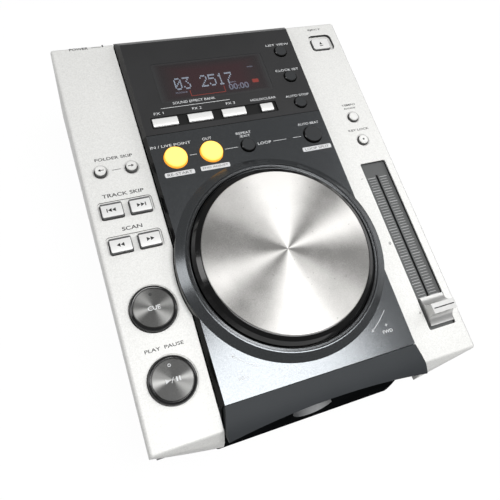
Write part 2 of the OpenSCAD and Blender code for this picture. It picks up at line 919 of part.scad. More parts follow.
// Black carrier of the CUE and PLAY buttons with a seat for the metal cap.
module carrier_button(v) {
    seat = play_cap_h - 1.4;
    color([0.07, 0.07, 0.08]) on_top() translate([left_x, v, 0]) {
        rotate_extrude() polygon([[0, -cover_wall - 0.4], [play_r, -cover_wall - 0.4],
            [play_r, 1.4], [play_r - 0.5, 2.3], [play_cap_r + 0.6, play_cap_h - 0.3],
            [play_cap_r + 0.2, play_cap_h - 0.4], [play_cap_r + 0.2, seat], [0, seat]]);
        button_foot(-cover_wall, side_switch) circle(play_r + flange_lip);
    }
}

// Spun metal cap seated in its carrier.
module metal_cap(v) {
    seat = play_cap_h - 1.4;
    color([0.45, 0.45, 0.46]) on_top() translate([left_x, v, 0])
        rotate_extrude() polygon([[0, seat], [play_cap_r, seat], [play_cap_r, play_cap_h - 0.4],
            [play_cap_r - 0.5, play_cap_h], [0, play_cap_h]]);
}

module eject_button() {
    under = -eject_under;
    color([0.9, 0.9, 0.9]) on_top() translate([right_x, eject_v, 0]) {
        round_slab(eject_w - 0.8, eject_d - 0.8, 2, -1.5, -0.9);
        round_slab(eject_w, eject_d, 2.2, under - 0.4, -1.3);
        button_foot(under, side_switch)
            round_rect(eject_w + 2 * flange_lip, eject_d + 2 * flange_lip, 1);
    }
}

module fx_button_1() { slab_button(slab_x, slab_w); }
module fx_button_2() { slab_button(slab_x + slab_pitch, slab_w); }
module fx_button_3() { slab_button(slab_x + 2 * slab_pitch, slab_w); }
module hold_button() { slab_button(hold_x, hold_w); }
dark_cap = [0.1, 0.1, 0.11];
lit_cap = [1, 0.93, 0.45];
grey_cap = [0.3, 0.3, 0.32];
module text_button() { deck_round_button(round_x, round_v, round_r, deck_h + 1.2, dark_cap); }
module time_button() {
    deck_round_button(round_x, round_v - round_pitch, round_r, deck_h + 1.2, dark_cap);
}
module auto_button() {
    deck_round_button(round_x, round_v - 2 * round_pitch, round_r, deck_h + 1.2, dark_cap);
}
module loop_in_button() { deck_round_button(loop_x[0], loop_v, loop_r, deck_h + 1.6, lit_cap); }
module loop_out_button() { deck_round_button(loop_x[1], loop_v, loop_r, deck_h + 1.6, lit_cap); }
module loop_exit_button() { deck_round_button(exit_x, loop_v, exit_r, deck_h + 1.6, dark_cap); }
module beat_loop_button() { deck_round_button(beat_x, loop_v, beat_r, deck_h + 1.6, dark_cap); }
module folder_back_button() {
    cover_round_button(left_x - folder_pitch / 2, folder_v, folder_r, 2.4, grey_cap);
}
module folder_forward_button() {
    cover_round_button(left_x + folder_pitch / 2, folder_v, folder_r, 2.4, grey_cap);
}
module track_back_button() { pair_button(track_v, -1); }
module track_forward_button() { pair_button(track_v, 1); }
module search_back_button() { pair_button(search_v, -1); }
module search_forward_button() { pair_button(search_v, 1); }
module cue_button() { carrier_button(cue_v); }
module cue_cap() { metal_cap(cue_v); }
module play_button() { carrier_button(play_v); }
module play_cap() { metal_cap(play_v); }
module tempo_range_button() { cover_round_button(right_x, tempo_v, small_r, 1.4, grey_cap); }
module key_lock_button() { cover_round_button(right_x, key_v, small_r, 1.4, grey_cap); }

// ================= Tempo fader =================

module fader_plate() {
    slot_len = fader_travel + tongue_d + 0.8;
    color([0.38, 0.38, 0.39]) on_top() translate([right_x, fader_v, 0]) difference() {
        union() {
            round_slab(fader_w, fader_len, 1, -cover_wall - 1, plate_top);
            round_slab(fader_w + 2 * plate_flange, fader_len + 2 * plate_flange, 1.5,
                -cover_wall - face_gap - plate_t, -cover_wall - face_gap);
        }
        translate([0, 0, -10]) linear_extrude(20)
            square([fader_slot_w, slot_len], center = true);
    }
}

module fader_body() {
    high = -cover_wall - face_gap - plate_t;
    slot_len = fader_travel + tongue_d + 2;
    color([0.55, 0.56, 0.58]) on_top() translate([right_x, fader_v, 0]) difference() {
        round_slab(pot_w, slot_len + 14, 0.8, high - pot_depth, high);
        translate([0, 0, high - pot_depth + pot_wall]) linear_extrude(20)
            square([pot_w - 2 * pot_wall, slot_len], center = true);
    }
}

module fader_knob() {
    low = plate_top + 0.6;
    base = 1.3;
    crest = 3.3;
    hollow_r = knob_d / 2 - crest - 0.1;
    color([0.86, 0.86, 0.87]) on_top() translate([right_x, knob_rest_v, 0]) {
        across(knob_w) difference() {
            translate([-knob_d / 2, low]) square([knob_d, knob_h - low]);
            for (s = [-1, 1]) {
                translate([s * (crest + hollow_r), base + hollow_r]) circle(hollow_r, $fn = 180);
                translate([s * (crest + hollow_r), base + hollow_r + knob_h / 2])
                    square([2 * hollow_r, knob_h], center = true);
            }
        }
        // Tongue through the slot into the fader's body
        translate([-tongue_t / 2, -tongue_d / 2, -cover_wall - face_gap - plate_t - 4])
            cube([tongue_t, tongue_d, cover_wall + face_gap + plate_t + 4 + base]);
    }
}

// ================= Jog wheel =================

module jog_surround() {
    low = base_top + base_t + 2;
    color([0.26, 0.26, 0.27]) on_top() translate([0, jog_v, 0]) rotate_extrude($fn = 180)
        polygon([[ring_in_r, low], [ring_out_r, low], [ring_out_r, ring_h - 0.1],
            [ring_out_r - 0.3, ring_h], [ring_out_r - 0.6, ring_h - 0.6],
            [ring_in_r + 0.6, ring_h - 0.6], [ring_in_r + 0.3, ring_h - 0.3],
            [ring_in_r, ring_h - 0.5]]);
}

// Dish under the wheel that carries the ring and the wheel's bush.
module jog_base() {
    low = base_top - deck_wall - base_t;
    wall_top = base_top + base_t + 2 - face_gap;
    color([0.14, 0.14, 0.15]) on_top() translate([0, jog_v, 0]) difference() {
        union() {
            drum(ring_out_r - 0.1, low, low + base_t);
            tube(ring_out_r - 0.1, ring_in_r, low, wall_top);
            // Flange screwed under the jog panel
            tube(bulge_r - 1, ring_out_r - 2, low, low + base_t - face_gap);
            drum(jog_shaft_r + bush_wall + 3, bush_low, -face_gap);
            for (i = [0:5]) {
                rotate(i * 60) translate([6, -1, low - 3]) cube([ring_in_r - 8, 2, 4]);
            }
        }
        drum(jog_shaft_r + bush_wall + run_gap / 2, -30, 10);
        // Window for the encoder's sensor
        rotate(90) translate([encoder_in - 3, -8, low - over]) cube([encoder_r - encoder_in + 10, 16, 8]);
    }
}

module jog_bush() {
    color([0.75, 0.6, 0.3]) on_top() translate([0, jog_v, 0]) {
        tube(jog_shaft_r + bush_wall, jog_shaft_r + run_gap, bush_low, bush_flange_t);
        tube(jog_shaft_r + bush_wall + 2, jog_shaft_r + run_gap, 0, bush_flange_t);
    }
}

module jog_shaft() {
    color([0.7, 0.7, 0.72]) on_top() translate([0, jog_v, 0]) {
        drum(jog_shaft_r, bush_low - 2, disc_low - rim_web - 0.5);
        // Retaining clip under the bush
        drum(jog_shaft_r + 2, bush_low - 1.2, bush_low - 0.3);
    }
}

module jog_rim() {
    web_low = disc_low - face_gap - rim_web;
    seat = disc_low - face_gap;
    lip = jog_disc_r + 0.3;
    mid_r = (lip + jog_rim_r) / 2 + 0.4;
    mid_h = (rim_top_h + jog_rim_h) / 2 + 0.4;
    color([0.03, 0.03, 0.03]) on_top() translate([0, jog_v, 0]) rotate_extrude($fn = 180)
        polygon([[jog_shaft_r, hub_low], [hub_r, hub_low], [hub_r, web_low],
            [lip - 3, web_low], [jog_rim_r - rim_wall, jog_rim_h - 1.6],
            [jog_rim_r - rim_wall, 5], [jog_rim_r - 0.2, 5], [jog_rim_r, jog_rim_h - 0.7],
            [jog_rim_r, jog_rim_h], [mid_r, mid_h], [lip + 0.2, rim_top_h], [lip - 0.1, rim_top_h],
            [lip - 0.1, seat], [jog_shaft_r, seat]]);
}

module jog_disc() {
    color([0.62, 0.62, 0.62]) on_top() translate([0, jog_v, 0]) rotate_extrude($fn = 180)
        polygon([[0, disc_low], [jog_disc_r, disc_low], [jog_disc_r, jog_top_h - 0.3],
            [jog_disc_r - 0.4, jog_top_h], [0, jog_top_h]]);
}

module encoder_wheel() {
    web_low = disc_low - face_gap - rim_web;
    color([0.2, 0.2, 0.2]) on_top() translate([0, jog_v, 0]) difference() {
        rotate_extrude($fn = 120) polygon([[encoder_in, encoder_h], [encoder_r, encoder_h],
            [encoder_r, encoder_h + encoder_t], [encoder_in + encoder_wall, encoder_h + encoder_t],
            [encoder_in + encoder_wall, web_low], [encoder_in, web_low]]);
        for (i = [0:encoder_slots - 1]) {
            rotate(i * 360 / encoder_slots)
                translate([encoder_in + 2.4, -0.75, encoder_h - over]) cube([2.6, 1.5, 3]);
        }
    }
}

// ================= Boards =================

// Board with push switches under the given points.
module switch_board(x, v, w, d, h, points) {
    translate([x, v, h]) linear_extrude(board_t) square([w, d]);
    for (p = points) {
        translate([p[0] - switch_w / 2, p[1] - switch_w / 2, h + board_t / 2])
            cube([switch_w, switch_w, switch_h + board_t / 2]);
    }
}

left_switches = concat(
    [for (s = [-1, 1]) [left_x + s * folder_pitch / 2, folder_v]],
    [for (s = [-1, 1], v = [track_v, search_v]) [left_x + s * pair_pitch / 2, v]],
    [[left_x, cue_v], [left_x, play_v]]);
right_switches = [[right_x, eject_v], [right_x, tempo_v], [right_x, key_v]];
deck_switches = concat(
    [for (i = [0:2]) [slab_x + i * slab_pitch, slab_v]], [[hold_x, slab_v]],
    [for (i = [0:2]) [round_x, round_v - i * round_pitch]],
    [for (x = loop_x) [x, loop_v]], [[exit_x, loop_v], [beat_x, loop_v]]);

module control_boards() {
    sensor_low = base_top - deck_wall - base_t - 2;
    color([0.1, 0.35, 0.2]) on_top() {
        switch_board(left_x - 15, play_v - 12.4, 30, folder_v - play_v + 20.4, side_board_h,
            left_switches);
        switch_board(right_x - 15, key_v - 15, 24, eject_v - key_v + 22, side_board_h,
            right_switches);
        switch_board(-deck_board_half, loop_v - 8, 2 * deck_board_half, top_len - 2 - loop_v,
            deck_board_h, deck_switches);
        // Sensor of the encoder wheel, with its arm from the deck's board
        translate([-4, 0, 0]) {
            translate([0, jog_v + encoder_in + 1.8, deck_board_h])
                cube([8, loop_v - 8 - jog_v - encoder_in, board_t]);
            translate([0, jog_v + encoder_in + 1.8, deck_board_h]) difference() {
                cube([8, encoder_r - encoder_in + 4, encoder_h + encoder_t + 2 - deck_board_h]);
                translate([-over, -over, encoder_h - deck_board_h - 1])
                    cube([8 + 2 * over, encoder_r - encoder_in + 1, encoder_t + 2]);
            }
        }
    }
}

module chip(x, y, w, d, h) {
    translate([x, y, board_z + board_t / 2]) cube([w, d, h + board_t / 2]);
}

module main_board() {
    w = board_half - board_split / 2;
    d = board_back - board_front;
    color([0.1, 0.35, 0.2]) translate([board_split / 2, 0, 0]) {
        translate([0, board_front, board_z]) cube([w, d, board_t]);
        chip(20, board_front + 14, 24, 24, 2.4);
        chip(54, board_front + 20, 14, 20, 2);
        chip(22, board_front + 50, 16, 10, 2);
        chip(60, board_front + d - 34, 9, 9, 6);
        for (i = [0:3]) {
            translate([46 + i * 9, board_front + d - 14, 0]) drum(3, board_z, board_z + 10);
        }
    }
}

module power_supply() {
    w = board_half - board_split / 2;
    d = board_back - board_front;
    color([0.35, 0.3, 0.15]) {
        switch_cup();
        translate([-board_half, 0, 0]) supply_board(w, d);
    }
}

// Housing behind the rear wall that holds the power button.
module switch_cup() {
    back = rear_face - sheet - face_gap;
    room = power_len + power_travel - sheet + 1;
    difference() {
        translate([power_x - power_w / 2 - 4, back - room - 2, power_z - power_d / 2 - 4])
            cube([power_w + 8, room + 2, power_d + 8]);
        translate([power_x - power_w / 2 - 2.5, back - room, power_z - power_d / 2 - 2.5])
            cube([power_w + 5, room + over, power_d + 5]);
    }
}

module supply_board(w, d) {
    union() {
        translate([0, board_front, board_z]) cube([w, d, board_t]);
        // Transformer, heat sink and capacitors
        chip(w - 48, board_front + 16, 38, 34, 30);
        translate([0, board_front + 14, board_z + board_t / 2]) {
            translate([12, 0, 0]) cube([3, 44, 26]);
            for (i = [0:5]) {
                translate([12, i * 8, 0]) cube([9, 1.6, 26]);
            }
        }
        for (i = [0:1]) {
            translate([28 + i * 14, board_front + d - 14, 0]) drum(6, board_z, board_z + 20);
        }
    }
}

// ================= Slot drive =================

// Sheet metal box of the drive, open at the front and at the top.
module drive_shell() {
    len = frame_back - frame_front;
    inner = frame_half - frame_sheet;
    difference() {
        translate([-frame_half, frame_front, frame_z])
            cube([2 * frame_half, len, frame_top - frame_z]);
        translate([-inner, frame_front - over, frame_floor])
            cube([2 * inner, len + over - frame_sheet, frame_top - frame_floor - frame_sheet]);
        // Top opening in front of the rear bridge
        translate([-frame_half + 8, frame_front + 6, frame_top - 5])
            cube([2 * frame_half - 16, len - 26, 20]);
        // Opening under the arm's rear end
        translate([-arm_w / 2 - 1, frame_back - 21, frame_top - 5]) cube([arm_w + 2, 12, 6]);
    }
}

module drive_frame() {
    color([0.66, 0.67, 0.68]) difference() {
        union() {
            drive_shell();
            // Tabs that carry the front ends of the rods and the lead screw
            for (x = [-rod_x, rod_x, screw_x]) {
                translate([x - 3, rod_front, frame_z]) cube([6, 1.5, rod_z + 3 - frame_z]);
            }
            // Ears that carry the clamp arm's pin
            for (s = [-1, 1]) {
                translate([s * (arm_w / 2 + 2.5) - 1, arm_y - 5, frame_top - 1])
                    cube([2, 10, arm_z - frame_top + 5]);
            }
        }
        // Bores for the roller's shaft, the pinion's shaft and the clamp arm's pin
        translate([-frame_half - over, roller_y, roller_z])
            rod_x_axis(roller_shaft_r + run_gap, 2 * frame_half + 2 * over);
        translate([-arm_w, arm_y, arm_z]) rod_x_axis(arm_pin_r + run_gap, 2 * arm_w);
        for (x = [-rod_x, rod_x, screw_x]) {
            translate([x, rod_front - over, rod_z]) rod_y_axis(rod_r + run_gap, 4);
        }
        // Holes for the drive's screws
        for (s = [-1, 1], y = drive_post_y) {
            translate([s * drive_post_x, y, 0]) drum(screw_hole_r, frame_z - over, frame_floor + over);
        }
    }
}

// Rubber roller, a little slimmer in the middle.
module feed_roller() {
    slim = 0.4;
    color([0.12, 0.12, 0.12]) translate([0, roller_y, roller_z]) rotate([0, 90, 0])
        rotate_extrude() polygon([[roller_shaft_r, -roller_half], [roller_r, -roller_half],
            [roller_r, -roller_half / 2], [roller_r - slim, 0], [roller_r, roller_half / 2],
            [roller_r, roller_half], [roller_shaft_r, roller_half]]);
}

// Outline of a spur gear with straight-sided teeth.
module gear_plan(teeth) {
    pitch_r = gear_mod * teeth / 2;
    step = 360 / teeth;
    tip = pitch_r + gear_mod;
    root = pitch_r - 1.25 * gear_mod;
    polygon([for (i = [0:teeth - 1]) each [
        root * [cos(i * step - step * 0.29), sin(i * step - step * 0.29)],
        tip * [cos(i * step - step * 0.11), sin(i * step - step * 0.11)],
        tip * [cos(i * step + step * 0.11), sin(i * step + step * 0.11)],
        root * [cos(i * step + step * 0.29), sin(i * step + step * 0.29)]]]);
}

module roller_shaft() {
    color([0.75, 0.75, 0.76]) {
        translate([-frame_half - 1, roller_y, roller_z]) rod_x_axis(roller_shaft_r, 2 * frame_half + 2);
        translate([gear_x, roller_y, roller_z]) rotate([0, 90, 0]) rotate(90 + mesh_angle)
            linear_extrude(gear_t) gear_plan(gear_teeth);
    }
}

// Pinion on the loading motor's shaft, in mesh with the roller's gear.
module motor_pinion() {
    color([0.9, 0.9, 0.85]) translate([gear_x, pinion_y, pinion_z]) rotate([0, 90, 0]) {
        rotate(270 + mesh_angle + 180 / pinion_teeth) linear_extrude(gear_t) gear_plan(pinion_teeth);
        translate([0, 0, -6]) cylinder(r = 1, h = 7);
    }
}

// Loading motor, spindle motor and the sled's stepper.
module drive_motors() {
    color([0.6, 0.61, 0.63]) {
        // Loading motor on its foot
        difference() {
            union() {
                translate([gear_x - 1 - motor_len, pinion_y, pinion_z]) rod_x_axis(motor_r, motor_len);
                translate([gear_x - 1 - motor_len, pinion_y - 4, frame_floor])
                    cube([motor_len, 8, pinion_z - frame_floor - 2]);
            }
            translate([gear_x - 8, pinion_y, pinion_z]) rod_x_axis(1 + run_gap, 10);
        }
        // Spindle motor
        translate([0, spin_y, 0])
            tube(spindle_motor_r, 1 + run_gap, frame_floor, frame_floor + spindle_motor_h);
        // Stepper of the lead screw
        difference() {
            union() {
                translate([screw_x, rod_back - stepper_len, rod_z]) rod_y_axis(stepper_r - 0.3, stepper_len);
                translate([screw_x - 3, rod_back - stepper_len, frame_floor])
                    cube([6, stepper_len, rod_z - frame_floor - 1]);
            }
            translate([screw_x, rod_back - stepper_len - over, rod_z])
                rod_y_axis(screw_r + run_gap, stepper_len - 2);
        }
    }
}

module turntable() {
    high = path_low - 0.2;
    low = frame_floor + spindle_motor_h + 0.3;
    color([0.1, 0.1, 0.1]) translate([0, spin_y, 0]) {
        rotate_extrude() polygon([[0, low], [5, low], [6, high - 1.6], [table_r, high - 1.6],
            [table_r, high], [8, high], [7.4, high - 0.6], [0, high - 0.6]]);
        drum(1, frame_floor + 0.5, low + 0.5);
    }
}

// Arm over the turntable that presses the disc down, on a pin at its rear end.
module clamp_arm() {
    color([0.7, 0.71, 0.72]) {
        difference() {
            union() {
                translate([-arm_w / 2, spin_y, arm_z - arm_t / 2]) cube([arm_w, arm_y - spin_y, arm_t]);
                translate([0, spin_y, 0]) drum(arm_w / 2, arm_z - arm_t / 2, arm_z + arm_t / 2);
            }
            translate([0, (spin_y + arm_y) / 2, 0]) drum(6, arm_z - 5, arm_z + 5);
        }
        translate([-arm_w / 2 - 4, arm_y, arm_z]) rod_x_axis(arm_pin_r, arm_w + 8);
        translate([-arm_w / 2, arm_y, arm_z]) rod_x_axis(arm_pin_r + 1, arm_w);
        // Pressure plate
        translate([0, spin_y, 0]) {
            drum(puck_r, puck_low, puck_low + 2.5);
            drum(5, puck_low + 1, arm_z);
        }
    }
}

module pickup_sled() {
    low = rod_z - sled_t / 2;
    lens_y = sled_front + 9;
    color([0.16, 0.16, 0.17]) difference() {
        union() {
            translate([-rod_x - 3.5, sled_front, low]) cube([2 * rod_x + 7, sled_d, sled_t]);
            translate([0, lens_y, 0]) drum(5, low + 1, low + sled_t + 0.8);
            // Half nut beside the lead screw
            translate([screw_x + screw_r + 0.3, sled_front + 6, low]) cube([6, 8, sled_t]);
        }
        for (s = [-1, 1]) {
            translate([s * rod_x, sled_front - over, rod_z]) rod_y_axis(rod_r + run_gap, sled_d + 2 * over);
        }
        translate([0, lens_y, 0]) drum(2.5, low + sled_t, low + sled_t + 3);
    }
}

module guide_rods() {
    color([0.8, 0.8, 0.82]) for (s = [-1, 1]) {
        translate([s * rod_x, rod_front, rod_z]) rod_y_axis(rod_r, rod_back - rod_front);
    }
}

module lead_screw() {
    turns = floor((rod_back - stepper_len - rod_front) / screw_pitch) - 1;
    start = rod_front;
    color([0.8, 0.75, 0.55]) translate([screw_x, 0, rod_z]) difference() {
        translate([0, start, 0]) rod_y_axis(screw_r, rod_back - stepper_len + 3 - start);
        for (i = [1:turns]) {
            translate([0, start + i * screw_pitch, 0]) rotate([-90, 0, 0]) tube(3, screw_r - 0.3, 0, 0.8);
        }
    }
}

// ================= Base, rear and small parts =================

module chassis_side_plan(inset, low) {
    front = chassis_front + inset;
    back = rear_face - inset;
    polygon([[front, low], [back, low], [back, top_z(back) - chassis_clear],
        [front, top_z(front) - chassis_clear]]);
}

module bottom_chassis() {
    color([0.09, 0.09, 0.1]) difference() {
        union() {
            difference() {
                across(2 * chassis_half) chassis_side_plan(0, floor_z);
                across(2 * (chassis_half - sheet)) translate([0, 0]) polygon([
                    [chassis_front + sheet, floor_top], [rear_face - sheet, floor_top],
                    [rear_face - sheet, 2 * front_h], [chassis_front + sheet, 2 * front_h]]);
            }
            // Posts for the drive and for the boards
            for (s = [-1, 1], y = drive_post_y) {
                translate([s * drive_post_x, y, 0]) tube(post_r, shank_r, floor_z, frame_z);
            }
            for (p = board_posts()) {
                translate([p[0], p[1], 0]) drum(post_r - 1, floor_z, board_z);
            }
        }
        // Opening behind the fascia
        translate([-cut_half, chassis_front - over, floor_z + 6])
            cube([2 * cut_half, sheet + 2 * over, 2 * front_h]);
        translate([-fascia_half, chassis_front - over, slot_z - slot_gap])
            cube([2 * fascia_half, sheet + 2 * over, 2 * front_h]);
        // Holes for the case screws and vents in the floor
        for (s = [-1, 1], y = cover_screw_y) {
            translate([s * cover_screw_x, y, 0]) drum(screw_hole_r, floor_z - over, floor_top + over);
        }
        for (s = [-1, 1], i = [0:vent_count - 1]) {
            translate([s * (board_half - 34) - 14, board_front + 22 + i * vent_pitch, 0])
                translate([14, 0, floor_z - over]) linear_extrude(sheet + 2 * over)
                round_rect(28, 2.6, 1.25);
        }
        // Openings in the rear wall
        translate([power_x - power_w / 2 - 0.5, rear_face - 3, power_z - power_d / 2 - 0.5])
            cube([power_w + 1, 6, power_d + 1]);
        for (x = jack_x) {
            translate([x, rear_face - 5, jack_z]) rod_y_axis(jack_r + 0.2, 8);
        }
        translate([control_x, rear_face - 5, jack_z]) rod_y_axis(control_r + 0.2, 8);
        translate([inlet_x - inlet_w / 2 + 2, rear_face - 5, jack_z - inlet_h / 2 + 1.5])
            cube([inlet_w - 4, 8, inlet_h - 3]);
    }
}

function board_posts() = [for (s = [-1, 1], x = [8, board_half - 6], y = [board_front + 6, board_back - 6])
    [s * x, y]];

module power_button() {
    color([0.1, 0.1, 0.1]) translate([power_x, 0, power_z]) {
        translate([-power_w / 2, rear_face - power_len, -power_d / 2])
            cube([power_w, power_len + power_out, power_d]);
        translate([-power_w / 2 - 2, rear_face - sheet - 2.2, -power_d / 2 - 2])
            cube([power_w + 4, 2, power_d + 4]);
    }
}

module audio_jacks() {
    color([0.12, 0.12, 0.13]) {
        difference() {
            union() {
                // Block behind the rear wall, standing on the main board
                translate([jack_x[0] - 9, rear_face - sheet - 13, board_z + board_t])
                    cube([jack_x[2] - jack_x[0] + 18, 13 - face_gap, jack_z + 8 - board_z - board_t]);
                for (x = jack_x) {
                    translate([x, rear_face - sheet - 1, jack_z])
                        rod_y_axis(jack_r, y_rear + jack_out - rear_face + sheet + 1);
                    translate([x, rear_face, jack_z]) rod_y_axis(jack_r + 2, 2);
                }
            }
            for (x = jack_x) {
                translate([x, rear_face - 0.5, jack_z]) rod_y_axis(jack_bore_r, 40);
            }
        }
        difference() {
            union() {
                translate([control_x - 4.5, rear_face - sheet - 13, board_z + board_t])
                    cube([9, 13 - face_gap, jack_z + 6 - board_z - board_t]);
                translate([control_x, rear_face - sheet - 1, jack_z]) rod_y_axis(control_r, sheet + 2.5);
            }
            translate([control_x, rear_face - 10, jack_z]) rod_y_axis(control_bore_r, 40);
        }
    }
}

module ac_inlet() {
    color([0.08, 0.08, 0.08]) translate([inlet_x, 0, jack_z]) {
        difference() {
            union() {
                translate([-inlet_w / 2, rear_face, -inlet_h / 2]) cube([inlet_w, 1.8, inlet_h]);
                translate([-inlet_w / 2 + 2.2, rear_face - 14, -inlet_h / 2 + 1.7])
                    cube([inlet_w - 4.4, 15, inlet_h - 3.4]);
            }
            for (s = [-1, 1]) {
                translate([s * eight_pitch / 2, rear_face - 11, 0]) rod_y_axis(eight_r, 20);
            }
            translate([-eight_pitch / 2, rear_face - 11, -eight_r + 0.9])
                cube([eight_pitch, 20, 2 * eight_r - 1.8]);
        }
        for (s = [-1, 1]) {
            translate([s * eight_pitch / 2, rear_face - 12, 0]) rod_y_axis(1.2, 11);
        }
    }
}

module feet() {
    color([0.07, 0.07, 0.07]) for (s = [-1, 1], y = foot_y) {
        translate([s * foot_x, y, 0]) {
            cylinder(r1 = foot_r - 1, r2 = foot_r, h = foot_h / 2);
            drum(foot_r, foot_h / 2, foot_h);
        }
    }
}

module screws() {
    color([0.2, 0.2, 0.2]) {
        for (s = [-1, 1], y = cover_screw_y) {
            translate([s * cover_screw_x, y, 0]) {
                drum(head_r, floor_z - head_t, floor_z);
                drum(shank_r, floor_z - head_t / 2, floor_z + shank_len);
            }
        }
        for (s = [-1, 1], y = drive_post_y) {
            translate([s * drive_post_x, y, 0]) {
                drum(head_r, frame_floor, frame_floor + head_t);
                drum(shank_r, frame_floor - shank_len, frame_floor + head_t / 2);
            }
        }
    }
}

top_cover();
bottom_chassis();
display_panel();
jog_plate();
front_visor();
slot_fascia();
display_window();
display_module();
fader_plate();
fader_knob();
fader_body();
fx_button_1();
fx_button_2();
fx_button_3();
hold_button();
text_button();
time_button();
auto_button();
loop_in_button();
loop_out_button();
loop_exit_button();
beat_loop_button();
folder_back_button();
folder_forward_button();
track_back_button();
track_forward_button();
search_back_button();
search_forward_button();
cue_button();
cue_cap();
play_button();
play_cap();
eject_button();
tempo_range_button();
key_lock_button();
power_button();
jog_surround();
jog_base();
jog_bush();
jog_shaft();
jog_rim();
jog_disc();
encoder_wheel();
control_boards();
main_board();
power_supply();
drive_frame();
feed_roller();
roller_shaft();
motor_pinion();
drive_motors();
turntable();
clamp_arm();
pickup_sled();
guide_rods();
lead_screw();
ac_inlet();
audio_jacks();
feet();
screws();
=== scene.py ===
"""Tabletop disc player with a jog wheel: finishes, printed legends, display and studio."""
import math

import bmesh
import bpy
from mathutils import Matrix, Vector


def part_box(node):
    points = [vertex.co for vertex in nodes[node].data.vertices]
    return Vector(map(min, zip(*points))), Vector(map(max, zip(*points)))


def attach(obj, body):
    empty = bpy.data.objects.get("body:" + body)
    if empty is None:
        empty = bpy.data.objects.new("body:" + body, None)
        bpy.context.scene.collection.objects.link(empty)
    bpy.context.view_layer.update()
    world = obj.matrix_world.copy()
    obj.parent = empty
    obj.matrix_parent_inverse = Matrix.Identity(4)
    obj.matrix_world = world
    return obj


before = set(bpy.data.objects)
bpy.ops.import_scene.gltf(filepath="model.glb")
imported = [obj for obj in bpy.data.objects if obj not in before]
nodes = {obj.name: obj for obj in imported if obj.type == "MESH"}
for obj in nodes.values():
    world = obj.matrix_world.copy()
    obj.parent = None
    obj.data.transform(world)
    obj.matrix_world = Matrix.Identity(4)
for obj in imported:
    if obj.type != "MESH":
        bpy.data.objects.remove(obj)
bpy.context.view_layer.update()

# ---------------------------------------------------------------- Sizes, in millimetres
MM = 0.001
TILT = math.radians(7)
JOG_V = 91.3            # jog wheel's centre, up the sloping top from its front edge
JOG_DISC_MID_H = 15.024  # middle of the metal disc's box above the silver top
DECK_H = 6.5            # black deck's face above the silver top
# Below the next height the walls of the deck and jog panel get painted shade
DECK_WALL_TOP = 6.42    # upper end of the deck's dark side walls
SCREEN_H = 4.52         # face of the display behind its window
PRINT = 0.03            # thickness of printed lettering
LEFT_X = -86.8          # middle of the left column of keys
RIGHT_X = 92.0          # middle of the right column and of the fader
PLAY_V, CUE_V = 36.4, 79.2
SEARCH_V, TRACK_V, FOLDER_V = 122.0, 145.5, 173.5
KEY_LOCK_V = 163.7
PAIR = 8.9              # track and search keys' distance from the middle of their column
KEY_TOP = 2.28          # top of the track and search keys
CAP_H = 3.0             # face of the spun caps
LOOP_V = 171.4
LOOP_X = (-48.6, -24.2)
WINDOW_X, WINDOW_V = -5.8, 229.15
WINDOW_HALF_W, WINDOW_HALF_D = 41, 15.9
NOTCH_Z = 34.18         # height of the finger notch's centre
NOTCH_R = 14.45
NOTCH_BACK_Y = -131.75
NOTCH_TOP_Z = 31.9
LEFT, RIGHT = math.pi, 0.0  # which way a triangle points

# Painted shade grey of the silver cover's key wells and right edge
PAINTED_SHADE_GREY = (0.035, 0.035, 0.036)
PANEL = (0.026, 0.026, 0.027)
# Painted shade black of the jog panel's walls below its face
WALL_SHADE_BLACK = (0.004, 0.004, 0.004)

# The sloping top has its own axes: x to the right, v up the slope and h off the surface.
low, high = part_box("jog_disc")
disc_centre = (Vector(low) + Vector(high)) / 2
SLOPE = Matrix.Rotation(TILT, 4, "X")
TOP = (
    Matrix.Translation(disc_centre - SLOPE @ Vector((0, JOG_V, JOG_DISC_MID_H)) * MM)
    @ SLOPE
    @ Matrix.Scale(MM, 4)
)
LEVEL = Matrix.Scale(MM, 4)


# ---------------------------------------------------------------- Shader helpers
class Wire:
    """An output socket; arithmetic on it adds Math nodes."""

    def __init__(self, finish, socket):
        self.finish = finish
        self.socket = socket

    def math(self, operation, *values):
        inputs = dict(enumerate(values))
        return self.finish.node("Math", {"operation": operation}, inputs)

    def __add__(self, other):
        return self.math("ADD", self, other)

    __radd__ = __add__

    def __sub__(self, other):
        return self.math("SUBTRACT", self, other)

    def __rsub__(self, other):
        return self.math("SUBTRACT", other, self)

    def __mul__(self, other):
        return self.math("MULTIPLY", self, other)

    __rmul__ = __mul__

    def __truediv__(self, other):
        return self.math("DIVIDE", self, other)

    def __pow__(self, other):
        return self.math("POWER", self, other)

    def __abs__(self):
        return self.math("ABSOLUTE", self)

    def cos(self):
        return self.math("COSINE", self)

    def over(self, edge):
        return self.math("GREATER_THAN", self, edge)

    def under(self, edge):
        return self.math("LESS_THAN", self, edge)

    def within(self, low, high):
        return self.over(low) * self.under(high)

    def limit(self):
        return self.finish.node("Clamp", {}, {0: self})


